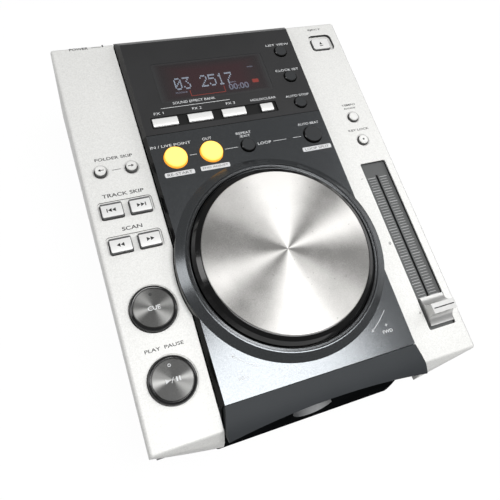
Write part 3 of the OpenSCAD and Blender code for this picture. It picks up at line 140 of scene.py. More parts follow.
class Finish:
    """A material on a Principled shader, with short calls for its nodes."""

    def __init__(self, name, **constants):
        self.material = bpy.data.materials.new(name)
        self.material.use_nodes = True
        self.tree = self.material.node_tree
        self.shader = self.tree.nodes["Principled BSDF"]
        for key, value in constants.items():
            self.feed(key.replace("_", " "), value)

    def node(self, kind, settings, inputs, output=0):
        made = self.tree.nodes.new("ShaderNode" + kind)
        for key, value in settings.items():
            if key == "stops":
                self.stops(made.color_ramp, value)
            else:
                setattr(made, key, value)
        for key, value in inputs.items():
            if isinstance(value, Wire):
                self.tree.links.new(value.socket, made.inputs[key])
            else:
                made.inputs[key].default_value = value
        return Wire(self, made.outputs[output])

    @staticmethod
    def stops(ramp, stops):
        while len(ramp.elements) < len(stops):
            ramp.elements.new(1)
        for element, (place, colour) in zip(ramp.elements, stops):
            element.position = place
            element.color = (*colour, 1)

    def feed(self, socket, value):
        if isinstance(value, Wire):
            self.tree.links.new(value.socket, self.shader.inputs[socket])
        elif isinstance(value, tuple) and len(value) == 3 and "Color" in socket:
            self.shader.inputs[socket].default_value = (*value, 1)
        else:
            self.shader.inputs[socket].default_value = value

    def place(self):
        return self.node("TexCoord", {}, {}, "Object")

    def noise(self, scale, detail=2.0, stretch=(1, 1, 1)):
        spot = self.node("Mapping", {}, {"Vector": self.place(), "Scale": stretch})
        settings = {"Vector": spot, "Scale": scale, "Detail": detail}
        return self.node("TexNoise", {}, settings, "Fac")

    def on_top(self, x, v):
        """Coordinates in millimetres on the sloping top, measured from a point."""
        settings = {
            "Vector": self.place(),
            "Location": TOP @ Vector((x, v, 0)),
            "Rotation": (TILT, 0, 0),
            "Scale": (MM, MM, MM),
        }
        spot = self.node("Mapping", {"vector_type": "TEXTURE"}, settings)
        return [self.node("SeparateXYZ", {}, {0: spot}, i) for i in range(3)]

    def level_spot(self):
        """Coordinates in millimetres in the player's own level frame."""
        spot = self.node("Mapping", {}, {"Vector": self.place(), "Scale": (1000, 1000, 1000)})
        return [self.node("SeparateXYZ", {}, {0: spot}, i) for i in range(3)]

    def mix(self, share, first, second):
        """Colour that goes from the first to the second with the share."""
        inputs = {"Factor": share, 6: colour4(first), 7: colour4(second)}
        return self.node("Mix", {"data_type": "RGBA"}, inputs, 2)

    def bump(self, height, distance, strength=1.0):
        inputs = {"Height": height, "Distance": distance, "Strength": strength}
        self.feed("Normal", self.node("Bump", {}, inputs))


def colour4(value):
    return value if isinstance(value, Wire) else (*value, 1)


def shade(colour, gain):
    return tuple(channel * gain for channel in colour)


def moulded(made, colour, gains, fine_scale, rough, depth):
    """Feed a moulding's uneven gloss and fine grain, and return its cloudy colour."""
    clouds = made.noise(22, 3)
    fine = made.noise(fine_scale, 2)
    patchy = (clouds * 1.6 - 0.3).limit()
    made.feed("Roughness", clouds * 0.12 + fine * 0.06 + (rough - 0.09))
    made.bump(fine, depth)
    return made.mix(patchy, shade(colour, gains[0]), shade(colour, gains[1]))


def grained(name, colour, rough, grain=0.00035, depth=0.00002, spread=0.12, **constants):
    """Moulded or coated surface: fine grain, faint cloudiness and uneven gloss."""
    made = Finish(name, **constants)
    gains = (1 - spread, 1 + spread)
    made.feed("Base Color", moulded(made, colour, gains, 1 / grain, rough, depth))
    return made.material


def key_finish(name, top, wall, edges, rough=0.34, **constants):
    """Moulded key: its face in one colour, its walls below the rim painted darker as shade.

    Each edge is the rim's height with the range of v in which keys of that height lie.
    """
    made = Finish(name, **constants)
    _, along, high = made.on_top(0, 0)
    face = moulded(made, top, (0.94, 1.04), 2800, rough, 0.000015)
    wall_shade_mask = 0
    for edge, low, high_v in edges:
        wall_shade_mask = high.under(edge) * along.within(low, high_v) + wall_shade_mask
    # Painted shade on the key's walls below the rim
    made.feed("Base Color", made.mix(wall_shade_mask, face, wall))
    return made.material


def brushed(name, colour, rough, stretch, grain=0.0006, **constants):
    """Metal with a drawn or ground grain along one direction."""
    made = Finish(name, Metallic=1.0, **constants)
    lines = made.noise(1 / grain, 3, stretch)
    clouds = made.noise(30, 2)
    made.feed("Base Color", made.mix(lines, shade(colour, 0.78), shade(colour, 1.15)))
    made.feed("Roughness", lines * 0.18 + clouds * 0.1 + (rough - 0.14))
    made.bump(lines, 0.00002)
    return made.material


def spun(name, x, v, dark, light, highlight_lobes, rough, wear=0.0, **constants):
    """Turned metal face: painted highlight streaks that fan out from the middle, and turning rings.

    Each lobe is a painted highlight's direction in degrees, its half width and its strength. The
    painted highlights are part of the colour, so they turn with the piece.
    """
    made = Finish(name, **constants)
    across, along, _ = made.on_top(x, v)
    angle = across.math("ARCTAN2", along, across)
    radius = (across * across + along * along) ** 0.5
    wobble = made.noise(160, 2)
    painted_sheen = 0
    # Painted highlight: each lobe lightens the colour in a wedge out from the middle
    for direction, half_width, strength in highlight_lobes:
        power = math.log(0.5) / math.log(math.cos(math.radians(half_width)))
        turned = angle - math.radians(direction)
        facing = turned.cos()
        facing = facing.math("MAXIMUM", facing, 0)
        painted_sheen = facing ** power * strength + painted_sheen
    rings = (radius * 9 + wobble * 5).math("SINE", radius * 9 + wobble * 5)
    grain = made.noise(1500, 2)
    specks = made.noise(430, 1).over(0.755)
    blotch = made.noise(55, 5)
    level = painted_sheen + rings * 0.02 + grain * 0.22 + blotch * wear - (0.11 + wear / 2)
    level = (level * (1 - specks * wear)).limit()
    made.feed("Base Color", made.mix(level, dark, light))
    made.feed("Roughness", grain * 0.1 + wobble * 0.08 + (rough - 0.09))
    made.bump(rings, 0.000004)
    return made.material


# ---------------------------------------------------------------- Finishes
def silver_paint():
    """Silver lacquer with flakes; painted shade darkens the walls of the key wells and openings, and the
    right edge.
    """
    made = Finish("silver_paint", Metallic=0.12, IOR=1.45)
    flakes = made.noise(1500, 1)
    fine = made.noise(700, 3)
    clouds = made.noise(14, 3)
    level = (flakes * 1.1 + fine * 0.7 + clouds * 0.2 - 0.5).limit()
    across, along, high = made.on_top(0, 0)
    # Wells of the track and search keys, of the eject key, and of all the others; their walls get painted
    # shade
    pairs = abs(across - LEFT_X).under(20) * along.within(110, 162)
    eject = across.within(80, 104) * along.within(236, 262)
    rest = (1 - pairs) * (1 - eject)
    shaded_wells = high.under(-0.1) * (1 - high.within(-1.08, -0.93)) * pairs
    shaded_wells = high.under(-0.1) * (1 - high.within(-2.5, -2.3)) * eject + shaded_wells
    shaded_wells = high.under(-1.0) * rest + shaded_wells
    # Painted shade on the walls of the key wells and openings, away from the cover's outer edges
    inner = abs(across).under(105) * along.within(8, 264) * shaded_wells
    paint = made.mix(level, (0.70, 0.70, 0.68), (0.93, 0.93, 0.91))
    # Painted shade along the right edge, where the rounded edge turns away from the light
    rim = across.over(108.0) * high.over(-2.5)
    made.feed("Base Color", made.mix(rim * 0.75, made.mix(inner, paint, PAINTED_SHADE_GREY), PAINTED_SHADE_GREY))
    made.feed("Roughness", flakes * 0.16 + clouds * 0.1 + 0.36)
    made.bump(fine, 0.00001)
    return made.material


def gunmetal_paint():
    """Dark metallic lacquer of the jog panel, with fine flakes; painted shade makes its walls below the
    face, in key wells and on the sides, near black.
    """
    made = Finish("gunmetal_paint", Metallic=0.80)
    flakes = made.noise(1500, 2)
    clouds = made.noise(18, 3)
    _, _, high = made.on_top(0, 0)
    level = (flakes * 1.3 + clouds * 0.25 - 0.27).limit()
    paint = made.mix(level, (0.080, 0.085, 0.090), (0.158, 0.167, 0.175))
    # Painted shade: the walls below the face, in key wells and on the sides, go near black
    made.feed("Base Color", made.mix(high.under(DECK_WALL_TOP), paint, WALL_SHADE_BLACK))
    made.feed("Roughness", flakes * 0.10 + clouds * 0.04 + 0.14)
    made.bump(flakes, 0.00001)
    return made.material


def deck_plastic():
    """Black face of the deck; painted shade makes its walls below the face, in key wells and on the sides,
    near black.
    """
    made = Finish("deck_black")
    _, _, high = made.on_top(0, 0)
    face = moulded(made, PANEL, (0.88, 1.12), 2800, 0.42, 0.00001)
    # Painted shade: the walls below the face, in key wells and on the sides, go near black
    made.feed("Base Color", made.mix(high.under(DECK_WALL_TOP), face, (0.003, 0.003, 0.003)))
    return made.material


def jog_disc_metal():
    """Worn turned face of the jog wheel's disc, with painted highlight streaks."""
    highlight_lobes = [
        (87, 26, 1.0), (64, 13, 0.24), (11, 13, 0.84), (130, 12, 0.26), (190, 12, 0.64),
        (263, 24, 0.95), (308, 14, 0.28),
    ]
    return spun(
        "jog_disc_metal", 0, JOG_V, (0.150, 0.147, 0.141), (0.88, 0.865, 0.84), highlight_lobes, 0.46, 0.36,
        Metallic=0.35,
    )


def cap_metal(name, v, dark, highlight_lobes):
    """Turned face of a large key's cap, with painted highlight streaks."""
    return spun(
        name, LEFT_X, v, (dark, dark, dark * 0.96), (0.40, 0.40, 0.39), highlight_lobes, 0.42, Metallic=0.35,
    )


def ring_plastic():
    """Dark ring round the wheel with turned grooves."""
    made = Finish("ring_plastic", Metallic=0.8)
    across, along, _ = made.on_top(0, JOG_V)
    radius = (across * across + along * along) ** 0.5
    grooves = (radius * (2 * math.pi / 0.6)).math("SINE", radius * (2 * math.pi / 0.6))
    clouds = made.noise(40, 2)
    made.feed("Base Color", made.mix(clouds, (0.074, 0.077, 0.080), (0.094, 0.098, 0.102)))
    made.feed("Roughness", clouds * 0.08 + 0.13)
    made.bump(grooves, 0.00002)
    return made.material


def gloss_black(name, colour=(0.009, 0.009, 0.0095), rough=0.12):
    """Polished black moulding with faint handling marks."""
    made = Finish(name, IOR=1.5)
    marks = made.noise(90, 4, (1, 3, 1))
    fine = made.noise(1500, 2)
    made.feed("Base Color", made.mix(marks, shade(colour, 0.7), shade(colour, 1.6)))
    made.feed("Roughness", (marks * 0.3 - 0.08).limit() + fine * 0.03 + (rough - 0.03))
    made.bump(fine, 0.000004)
    return made.material


def slot_plastic():
    """Black plastic of the disc slot's surround; the notch's curved wall gets a painted reflection, light
    grey and brightest towards the right.
    """
    made = Finish("slot_plastic", Specular_IOR_Level=0.0)
    across, deep, high = made.level_spot()
    marks = made.noise(90, 3)
    rise = high - NOTCH_Z
    painted_reflection_patch = (across * across + rise * rise).under(NOTCH_R ** 2)
    painted_reflection_patch = painted_reflection_patch * deep.under(NOTCH_BACK_Y) * high.under(NOTCH_TOP_Z)
    # Painted reflection on the notch's curved wall, lighter towards the right
    painted_sheen = ((across + 9) * 0.06).limit() * 0.8 + 0.1
    grey = made.mix(painted_sheen, (0.10, 0.105, 0.11), (0.62, 0.63, 0.64))
    black = made.mix(marks, (0.004, 0.0045, 0.005), (0.010, 0.011, 0.012))
    made.feed("Base Color", made.mix(painted_reflection_patch, black, grey))
    made.feed("Roughness", marks * 0.1 + 0.4)
    return made.material


def lit_key():
    """Translucent key with a lamp under it: bright in the middle, deeper at the rim."""
    made = Finish("lit_key", Roughness=0.35, Emission_Strength=1.35)
    fine = made.noise(1200, 2)
    spots = [made.on_top(x, LOOP_V) for x in LOOP_X]
    rims = [(x * x + v * v) ** 0.5 for x, v, _ in spots]
    radius = rims[0].math("MINIMUM", rims[0], rims[1])
    edge = ((radius - 5.2) * 0.42).limit() ** 2
    light = made.mix(edge, (0.98, 0.72, 0.12), (0.80, 0.27, 0.01))
    made.feed("Base Color", made.mix(fine * 0.2, (0.55, 0.42, 0.12), (0.65, 0.5, 0.2)))
    made.feed("Emission Color", light)
    made.bump(fine, 0.00001)
    return made.material


def smoked_window():
    """Tinted display window, reddest in its middle."""
    made = Finish("smoked_window", Roughness=0.4, IOR=1.49)
    x, v, _ = made.on_top(WINDOW_X, WINDOW_V)
    wide, deep = abs(x) / WINDOW_HALF_W, abs(v) / WINDOW_HALF_D
    reach = wide.math("MAXIMUM", wide, deep)
    fade = ((reach - 0.5) * 2.1).limit()
    cloud = made.noise(60, 2)
    tint = made.mix(cloud * 0.4, (0.054, 0.027, 0.031), (0.062, 0.032, 0.036))
    made.feed("Base Color", made.mix(fade, tint, shade(PANEL, 1.3)))
    shut = ((reach - 0.86) * 8).limit()
    made.feed("Alpha", shut * 0.35 + 0.65)
    return made.material


def glow(name, colour, strength):
    """Segments that give light."""
    made = Finish(name, Base_Color=(0.02, 0.02, 0.02), Emission_Strength=strength)
    fine = made.noise(900, 2)
    made.feed("Emission Color", made.mix(fine, shade(colour, 0.75), colour))
    return made.material


def ink(name, colour, rough=0.5):
    """Screen printed ink, a little uneven."""
    made = Finish(name)
    fine = made.noise(1800, 2)
    made.feed("Base Color", made.mix(fine, shade(colour, 0.82), shade(colour, 1.1)))
    made.feed("Roughness", fine * 0.2 + (rough - 0.1))
    return made.material


def board():
    """Circuit board: green lacquer over copper tracks, bare pads."""
    made = Finish("board", Coat_Weight=0.3)
    tracks = made.noise(260, 1, (1, 6, 1))
    pads = made.noise(420, 0)
    copper = made.mix(tracks.over(0.55), (0.010, 0.075, 0.03), (0.02, 0.13, 0.05))
    made.feed("Base Color", made.mix(pads.over(0.66), copper, (0.55, 0.5, 0.4)))
    made.feed("Roughness", pads * 0.2 + 0.3)
    made.bump(tracks, 0.00003)
    return made.material


silver = silver_paint()
gunmetal = gunmetal_paint()
deck_black = deck_plastic()
visor_satin = grained(
    "visor_satin", (0.041, 0.045, 0.049), 0.55, depth=0.000015, Specular_IOR_Level=0.16,
)
gloss = gloss_black("gloss_black")
wheel_gloss = gloss_black("wheel_gloss", (0.003, 0.003, 0.0032), 0.06)
powder = grained("powder_black", (0.022, 0.022, 0.024), 0.55, 0.0006, 0.00006)
plate_grey = grained("plate_grey", (0.088, 0.091, 0.091), 0.5)
knob_silver = grained("knob_silver", (0.63, 0.63, 0.62), 0.34, Metallic=0.65)
# Key finishes whose walls below the rim get painted shade, from grey to black
KEY_WALL_SHADE = (0.12, 0.121, 0.123)
key_white = key_finish(
    "key_white", (0.86, 0.86, 0.85), KEY_WALL_SHADE,
    [(1.87, 100, 165), (7.05, 190, 215), (-1.28, 236, 262)], Metallic=0.12,
)
key_bright = key_finish(
    "key_bright", (0.88, 0.88, 0.86), (0.17, 0.17, 0.168),
    [(1.95, 168, 178), (0.95, 155, 168), (0.95, 178, 190)], Metallic=0.12,
)
key_dark = key_finish(
    "key_dark", (0.042, 0.044, 0.046), (0.002, 0.002, 0.002),
    [(8.06, 150, 185), (7.66, 190, 262)], 0.2,
)
inner_black = grained("inner_black", (0.02, 0.02, 0.02), 0.5)
rubber = grained("rubber_black", (0.018, 0.018, 0.018), 0.75, 0.0008, 0.00005)
acetal = grained("acetal", (0.72, 0.71, 0.66), 0.4)
zinc = brushed("zinc_steel", (0.56, 0.57, 0.58), 0.4, (1, 14, 1))
steel = brushed("ground_steel", (0.62, 0.62, 0.63), 0.28, (8, 1, 8))
brass = brushed("turned_brass", (0.72, 0.52, 0.24), 0.3, (1, 1, 12))
screw_black = brushed("screw_black", (0.09, 0.09, 0.09), 0.35, (1, 1, 1))
# Painted highlight streaks on the cue and play caps
CUE_HIGHLIGHT_LOBES = [(6, 14, 0.48), (186, 14, 0.84), (128, 20, 0.52), (308, 20, 0.68), (95, 20, 0.05)]
PLAY_HIGHLIGHT_LOBES = [(-2, 11, 0.72), (178, 12, 0.98), (148, 15, 0.35), (318, 22, 0.50), (110, 18, 0.08)]
cue_metal = cap_metal("cue_metal", CUE_V, 0.042, CUE_HIGHLIGHT_LOBES)
play_metal = cap_metal("play_metal", PLAY_V, 0.026, PLAY_HIGHLIGHT_LOBES)

FINISHES = {
    silver: ["top_cover"],
    gunmetal: ["jog_plate"],
    deck_black: ["display_panel"],
    visor_satin: ["front_visor"],
    slot_plastic(): ["slot_fascia"],
    gloss: ["cue_button", "play_button"],
    wheel_gloss: ["jog_rim"],
    ring_plastic(): ["jog_surround"],
    jog_disc_metal(): ["jog_disc"],
    cue_metal: ["cue_cap"],
    play_metal: ["play_cap"],
    smoked_window(): ["display_window"],
    plate_grey: ["fader_plate"],
    knob_silver: ["fader_knob"],
    key_white: [
        "fx_button_1", "fx_button_2", "fx_button_3", "hold_button", "track_back_button",
        "track_forward_button", "search_back_button", "search_forward_button", "eject_button",
    ],
    key_dark: ["text_button", "time_button", "auto_button", "loop_exit_button", "beat_loop_button"],
    key_bright: [
        "folder_back_button", "folder_forward_button", "tempo_range_button", "key_lock_button",
    ],
    lit_key(): ["loop_in_button", "loop_out_button"],
    powder: ["bottom_chassis"],
    inner_black: [
        "display_module", "power_button", "jog_base", "encoder_wheel", "turntable",
        "pickup_sled", "ac_inlet", "audio_jacks", "fader_body",
    ],
    rubber: ["feet", "feed_roller"],
    acetal: ["motor_pinion"],
    zinc: ["drive_frame", "clamp_arm", "drive_motors"],
    steel: ["jog_shaft", "roller_shaft", "guide_rods", "lead_screw"],
    brass: ["jog_bush"],
    screw_black: ["screws"],
    board(): ["control_boards", "main_board", "power_supply"],
}
for material, names in FINISHES.items():
    for name in names:
        mesh = nodes[name].data
        mesh.materials.clear()
        mesh.materials.append(material)


# ---------------------------------------------------------------- Mesh helpers
class Work:
    """A mesh in the making, in millimetres, on the sloping top or level."""

    def __init__(self):
        self.bm = bmesh.new()

    def shift(self, made, x, v, h, turn=0.0):
        bmesh.ops.rotate(self.bm, verts=made, cent=(0, 0, 0), matrix=Matrix.Rotation(turn, 3, "Z"))
        bmesh.ops.translate(self.bm, verts=made, vec=(x, v, h))

    def slab(self, x, v, w, d, low, high, turn=0.0, corner=0.0):
        """Flat block, its upright edges rounded if a corner radius is given."""
        made = bmesh.ops.create_cube(self.bm, size=1)["verts"]
        bmesh.ops.scale(self.bm, verts=made, vec=(w, d, high - low))
        if corner:
            upright = [
                e for e in {e for vert in made for e in vert.link_edges}
                if abs(e.verts[0].co.z - e.verts[1].co.z) > 1e-6
            ]
            rounded = bmesh.ops.bevel(
                self.bm, geom=upright, offset=corner, segments=5, profile=0.5,
                affect="EDGES", material=-1,
            )
            made = list({vert for face in rounded["faces"] for vert in face.verts})
        self.shift(made, x, v, (low + high) / 2, turn)

    def disc(self, x, v, radius, low, high, segments=32):
        made = bmesh.ops.create_cone(
            self.bm, cap_ends=True, segments=segments, radius1=radius, radius2=radius,
            depth=high - low,
        )["verts"]
        self.shift(made, x, v, (low + high) / 2)

    def wedge(self, x, v, size, low, high, turn=0.0):
        """Triangle that points along +x before its turn."""
        made = bmesh.ops.create_cone(
            self.bm, cap_ends=True, segments=3, radius1=size, radius2=size, depth=high - low,
        )["verts"]
        bmesh.ops.rotate(self.bm, verts=made, cent=(0, 0, 0), matrix=Matrix.Rotation(-math.pi / 2, 3, "Z"))
        self.shift(made, x, v, (low + high) / 2, turn)

    def arc(self, x, v, radius, width, start, end, low, high):
        """Flat band along a circle, between two angles in degrees."""
        first = math.radians(start)
        made = bmesh.ops.create_grid(self.bm, x_segments=1, y_segments=1, size=0.5)["verts"]
        bmesh.ops.scale(self.bm, verts=made, vec=(width, high - low, 1))
        bmesh.ops.rotate(self.bm, verts=made, cent=(0, 0, 0), matrix=Matrix.Rotation(math.pi / 2, 3, "X"))
        bmesh.ops.translate(self.bm, verts=made, vec=(radius, 0, (low + high) / 2))
        bmesh.ops.rotate(self.bm, verts=made, cent=(0, 0, 0), matrix=Matrix.Rotation(first, 3, "Z"))
        faces = list({face for vert in made for face in vert.link_faces})
        before = set(self.bm.verts)
        bmesh.ops.spin(
            self.bm, geom=faces, cent=(0, 0, 0), axis=(0, 0, 1),
            angle=math.radians(end - start), steps=max(4, int(abs(end - start) / 3)),
            use_duplicate=False,
        )
        whole = [vert for vert in self.bm.verts if vert not in before] + list(made)
        bmesh.ops.translate(self.bm, verts=whole, vec=(x, v, 0))

    def text(self, words, x, v, width, cap, low, high, turn=0.0, weight=0.014):
        """Lettering with the given width and letter height, centred on a point."""
        curve = bpy.data.curves.new("lettering", "FONT")
        curve.body = words
        curve.align_x = "CENTER"
        curve.align_y = "CENTER"
        curve.extrude = 0.5
        curve.offset = weight
        curve.resolution_u = 4
        holder = bpy.data.objects.new("lettering", curve)
        bpy.context.scene.collection.objects.link(holder)
        bpy.context.view_layer.update()
        shape = bpy.data.meshes.new_from_object(holder)
        bpy.data.objects.remove(holder)
        bpy.data.curves.remove(curve)
        spots = [vert.co for vert in shape.vertices]
        box = [(min(s[i] for s in spots), max(s[i] for s in spots)) for i in range(3)]
        centre = Vector(((box[0][0] + box[0][1]) / 2, (box[1][0] + box[1][1]) / 2, 0))
        scale = (
            width / (box[0][1] - box[0][0]), cap / (box[1][1] - box[1][0]),
            (high - low) / (box[2][1] - box[2][0]),
        )
        shape.transform(Matrix.Diagonal((*scale, 1)) @ Matrix.Translation(-centre))
        shape.transform(
            Matrix.Translation((x, v, (low + high) / 2)) @ Matrix.Rotation(turn, 4, "Z")
        )
        self.bm.from_mesh(shape)
        bpy.data.meshes.remove(shape)

    def ring(self, profile, x, v, segments=96):
        """Profile of (radius, height) points turned full circle."""
        corners = [self.bm.verts.new((r, 0, h)) for r, h in profile]
        edges = [self.bm.edges.new(pair) for pair in zip(corners, corners[1:] + corners[:1])]
        before = set(self.bm.verts) - set(corners)
        bmesh.ops.spin(
            self.bm, geom=corners + edges, cent=(0, 0, 0), axis=(0, 0, 1),
            angle=2 * math.pi, steps=segments, use_merge=True, use_duplicate=False,
        )
        whole = [vert for vert in self.bm.verts if vert not in before]
        bmesh.ops.translate(self.bm, verts=whole, vec=(x, v, 0))

    def done(self, name, material, body, placing=TOP, smooth=False):
        bmesh.ops.recalc_face_normals(self.bm, faces=self.bm.faces)
        mesh = bpy.data.meshes.new(name)
        self.bm.to_mesh(mesh)
        self.bm.free()
        mesh.transform(placing)
        mesh.materials.append(material)
        if smooth:
            mesh.shade_smooth()
        made = bpy.data.objects.new(name, mesh)
        bpy.context.scene.collection.objects.link(made)
        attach(made, body)
        return made


# ---------------------------------------------------------------- Legends on the silver cover
ink_dark = ink("ink_dark", (0.035, 0.035, 0.037))
ink_grey = ink("ink_grey", (0.16, 0.16, 0.16))
ink_white = ink("ink_white", (0.72, 0.73, 0.74))
ink_key = ink("ink_key", (0.008, 0.008, 0.008))
lamp_dark = ink("lamp_dark", (0.03, 0.032, 0.03), 0.3)


def cover_legends():
    """Names of the keys on the silver strips, with a few rules."""
    work = Work()
    low, high = 0, PRINT
    words = [
        ("POWER", -90.2, 269.9, 12.6, 1.9), ("FOLDER SKIP", LEFT_X + 0.4, 182.3, 24, 2.1),
        ("TRACK SKIP", LEFT_X + 0.4, 156.3, 26, 2.5), ("SCAN", LEFT_X + 0.4, 132.6, 12.5, 2.5),
        ("PLAY  PAUSE", LEFT_X + 0.3, 55.7, 23, 2.1), ("EJECT", 90.5, 266.3, 11, 1.8),
        ("TEMPO", RIGHT_X + 0.3, 194.6, 11.5, 1.6), ("RANGE", RIGHT_X + 0.3, 191.6, 9.5, 1.2),
        ("KEY LOCK", RIGHT_X + 0.1, 172.7, 17, 1.7),
    ]
    for text, x, v, width, cap in words:
        work.text(text, x, v, width, cap, low, high)
    work.slab(-78.4, 269.9, 6.6, 0.28, low, high)
    work.slab(-73.9, 270.7, 0.9, 1.7, low, high)
    work.slab(LEFT_X + 0.3, 173.6, 5.4, 0.35, low, high)
    return work.done("cover_legends", ink_dark, "housing")


def fader_scale_marks():
    """Minus, nought and plus beside the fader."""
    work = Work()
    work.slab(78.5, 133.2, 1.8, 0.3, 0, PRINT)
    work.text("0", 79.1, 82.6, 1.7, 2.2, 0, PRINT)
    work.slab(79.6, 31.7, 1.8, 0.3, 0, PRINT)
    work.slab(79.6, 31.7, 0.3, 1.8, 0, PRINT)
    return work.done("fader_scale_marks", ink_grey, "housing")


def fader_ticks():
    """Ticks on both sides of the fader's slot; every fifth is long and bold."""
    work = Work()
    face, travel, middle, steps = -2.0, 102.0, 82.0, 50
    for i in range(steps + 1):
        v = middle - travel / 2 + travel * i / steps
        bold = i % 5 == 0
        for side in (-1, 1):
            inner, outer = 1.7, 8.0 if bold else 7.3
            work.slab(
                RIGHT_X + side * (inner + outer) / 2, v, outer - inner, 0.5 if bold else 0.34,
                face, face + PRINT,
            )
    return work.done("fader_ticks", ink("ink_tick", (0.42, 0.43, 0.43)), "housing")


# ---------------------------------------------------------------- Legends on the deck
def deck_legends():
    """White names and rules on the black deck."""
    work = Work()
    low, high = DECK_H, DECK_H + PRINT
    words = [
        ("IN / LIVE POINT", -49.6, 180.9, 27.0, 1.9), ("OUT", -24.6, 181.6, 6.4, 1.9),
        ("REPEAT", 1.6, 181.5, 11.0, 1.8), ("/EXIT", 1.9, 179.0, 7.6, 1.7),
        ("LOOP", 14.0, 171.4, 9.8, 2.1), ("AUTO BEAT", 50.8, 180.8, 16.5, 1.8),
        ("FX 1", -51.0, 205.8, 6.6, 1.9), ("FX 2", -24.4, 206.0, 6.6, 1.9),
        ("FX 3", 0.0, 206.2, 6.6, 1.9), ("SOUND EFFECT BANK", -24.5, 212.2, 30.2, 1.9),
        ("HOLD/CLEAR", 24.7, 206.0, 19.5, 1.8), ("LIST VIEW", 51.0, 250.7, 18.5, 1.8),
        ("CLOCK SET", 51.0, 227.6, 18.5, 1.8), ("AUTO STOP", 51.1, 204.9, 18.5, 1.8),
    ]
    for text, x, v, width, cap in words:
        work.text(text, x, v, width, cap, low, high, weight=0.004)
    for left, right in ((-39.2, -34.3), (-14.9, -5.5), (20.3, 30.3), (35.6, 41.9)):
        work.slab((left + right) / 2, LOOP_V, right - left, 0.3, low, high)
    work.slab(-24.1, 209.2, 49, 0.35, low, high)
    return work.done("deck_legends", ink_white, "housing")


def deck_label_bars():
    """White bars under three of the loop keys."""
    work = Work()
    for left, right, v in ((-58.9, -39.1, 159.6), (-34.9, -14.8, 160.0), (39.3, 61.4, 160.7)):
        work.slab((left + right) / 2, v, right - left, 3.3, DECK_H, DECK_H + PRINT, corner=0.9)
    return work.done("deck_label_bars", ink_white, "housing")


def bar_lettering():
    """Dark lettering on the white bars."""
    work = Work()
    low, high = DECK_H + PRINT, DECK_H + 2 * PRINT
    work.text("RE-START", -49.0, 159.6, 16.5, 1.8, low, high, weight=0.0)
    work.text("END ADJUST", -24.8, 160.0, 17.5, 1.8, low, high, weight=0.0)
    work.text("LOOP SPLIT", 50.4, 160.7, 18.5, 1.8, low, high, weight=0.0)
    return work.done("bar_lettering", ink_dark, "housing")


def direction_marks():
    """Arrows that say which way the wheel turns, with a minus and a plus."""
    work = Work()
    low, high = DECK_H, DECK_H + PRINT
    radius = 73.3
    for start, end, tip in ((225.7, 238.0, 225.7), (302.0, 315.0, 302.0)):
        work.arc(0, JOG_V, radius, 0.35, start, end, low, high)
        angle = math.radians(tip)
        heading = angle - math.pi / 2
        work.wedge(
            radius * math.cos(angle), JOG_V + radius * math.sin(angle), 1.0, low, high, heading,
        )
    work.slab(-49.2, 29.0, 1.8, 0.35, low, high)
    work.slab(49.2, 30.3, 1.8, 0.35, low, high)
    work.slab(49.2, 30.3, 0.35, 1.8, low, high)
    work.text("REV", -48.3, 25.5, 6.6, 2.0, low, high)
    work.text("FWD", 48.7, 26.4, 7.0, 2.0, low, high)
    return work.done("direction_marks", ink_white, "housing")


# ---------------------------------------------------------------- Display
GLYPHS = {
    "0": "01110 10001 10011 10101 11001 10001 01110",
    "1": "00100 01100 00100 00100 00100 00100 01110",
    "2": "01110 10001 00001 00010 00100 01000 11111",
    "3": "11111 00010 00100 00010 00001 10001 01110",
    "5": "11111 10000 11110 00001 00001 10001 01110",
    "7": "11111 00001 00010 00100 01000 01000 01000",
    " ": "00000 00000 00000 00000 00000 00000 00000",
}


def display_characters():
    """Dot matrix line of the display."""
    work = Work()
    left, base, pitch, rise, step = -33.4, 224.2, 1.03, 1.42, 6.25
    for place, letter in enumerate("03 2517"):
        for row, dots in enumerate(GLYPHS[letter].split()):
            for column, dot in enumerate(dots):
                if dot == "1":
                    x = left + place * step + column * pitch
                    v = base + (6 - row) * rise
                    work.slab(x, v, 0.86, 1.2, SCREEN_H, SCREEN_H + PRINT)
    return work.done("display_characters", glow("glow_blue", (0.66, 0.82, 1.0), 3.6), "housing")


def display_small_marks():
    """Small words and the clock on the display."""
    work = Work()
    low, high = SCREEN_H, SCREEN_H + PRINT
    work.text("PROGRAM", -30.7, 221.3, 8.2, 1.2, low, high)
    work.text("TEMPO", 7.3, 224.6, 6.0, 1.0, low, high)
    work.text("00:00", 11.4, 220.8, 15.0, 5.0, low, high)
    work.text("min", 24.5, 236.0, 4.2, 1.3, low, high)
    return work.done("display_small_marks", glow("glow_dim", (0.50, 0.60, 0.80), 2.3), "housing")


def display_red_marks():
    """Red bracket and patch on the display."""
    work = Work()
    low, high = SCREEN_H, SCREEN_H + PRINT
    work.slab(-12.2, 217.5, 24.9, 0.42, low, high)
    work.slab(-24.5, 219.9, 0.42, 5.0, low, high)
    work.slab(0.5, 219.9, 0.42, 5.0, low, high)
    work.slab(25.0, 223.4, 4.8, 3.0, low, high, corner=0.6)
    return work.done("display_red_marks", glow("glow_red", (1.0, 0.10, 0.05), 2.2), "housing")


# ---------------------------------------------------------------- Symbols on the keys
def key_symbols(name, body, x, v, h, marks, material):
    """Triangles and bars on a key; each mark is its kind, place and direction."""
    work = Work()
    for kind, offset, turn in marks:
        if kind == "triangle":
            work.wedge(x + offset, v, 1.5, h - 0.1, h + 0.03, turn)
        else:
            work.slab(x + offset, v, 0.6, 2.5, h - 0.1, h + 0.03)
    return work.done(name, material, body)


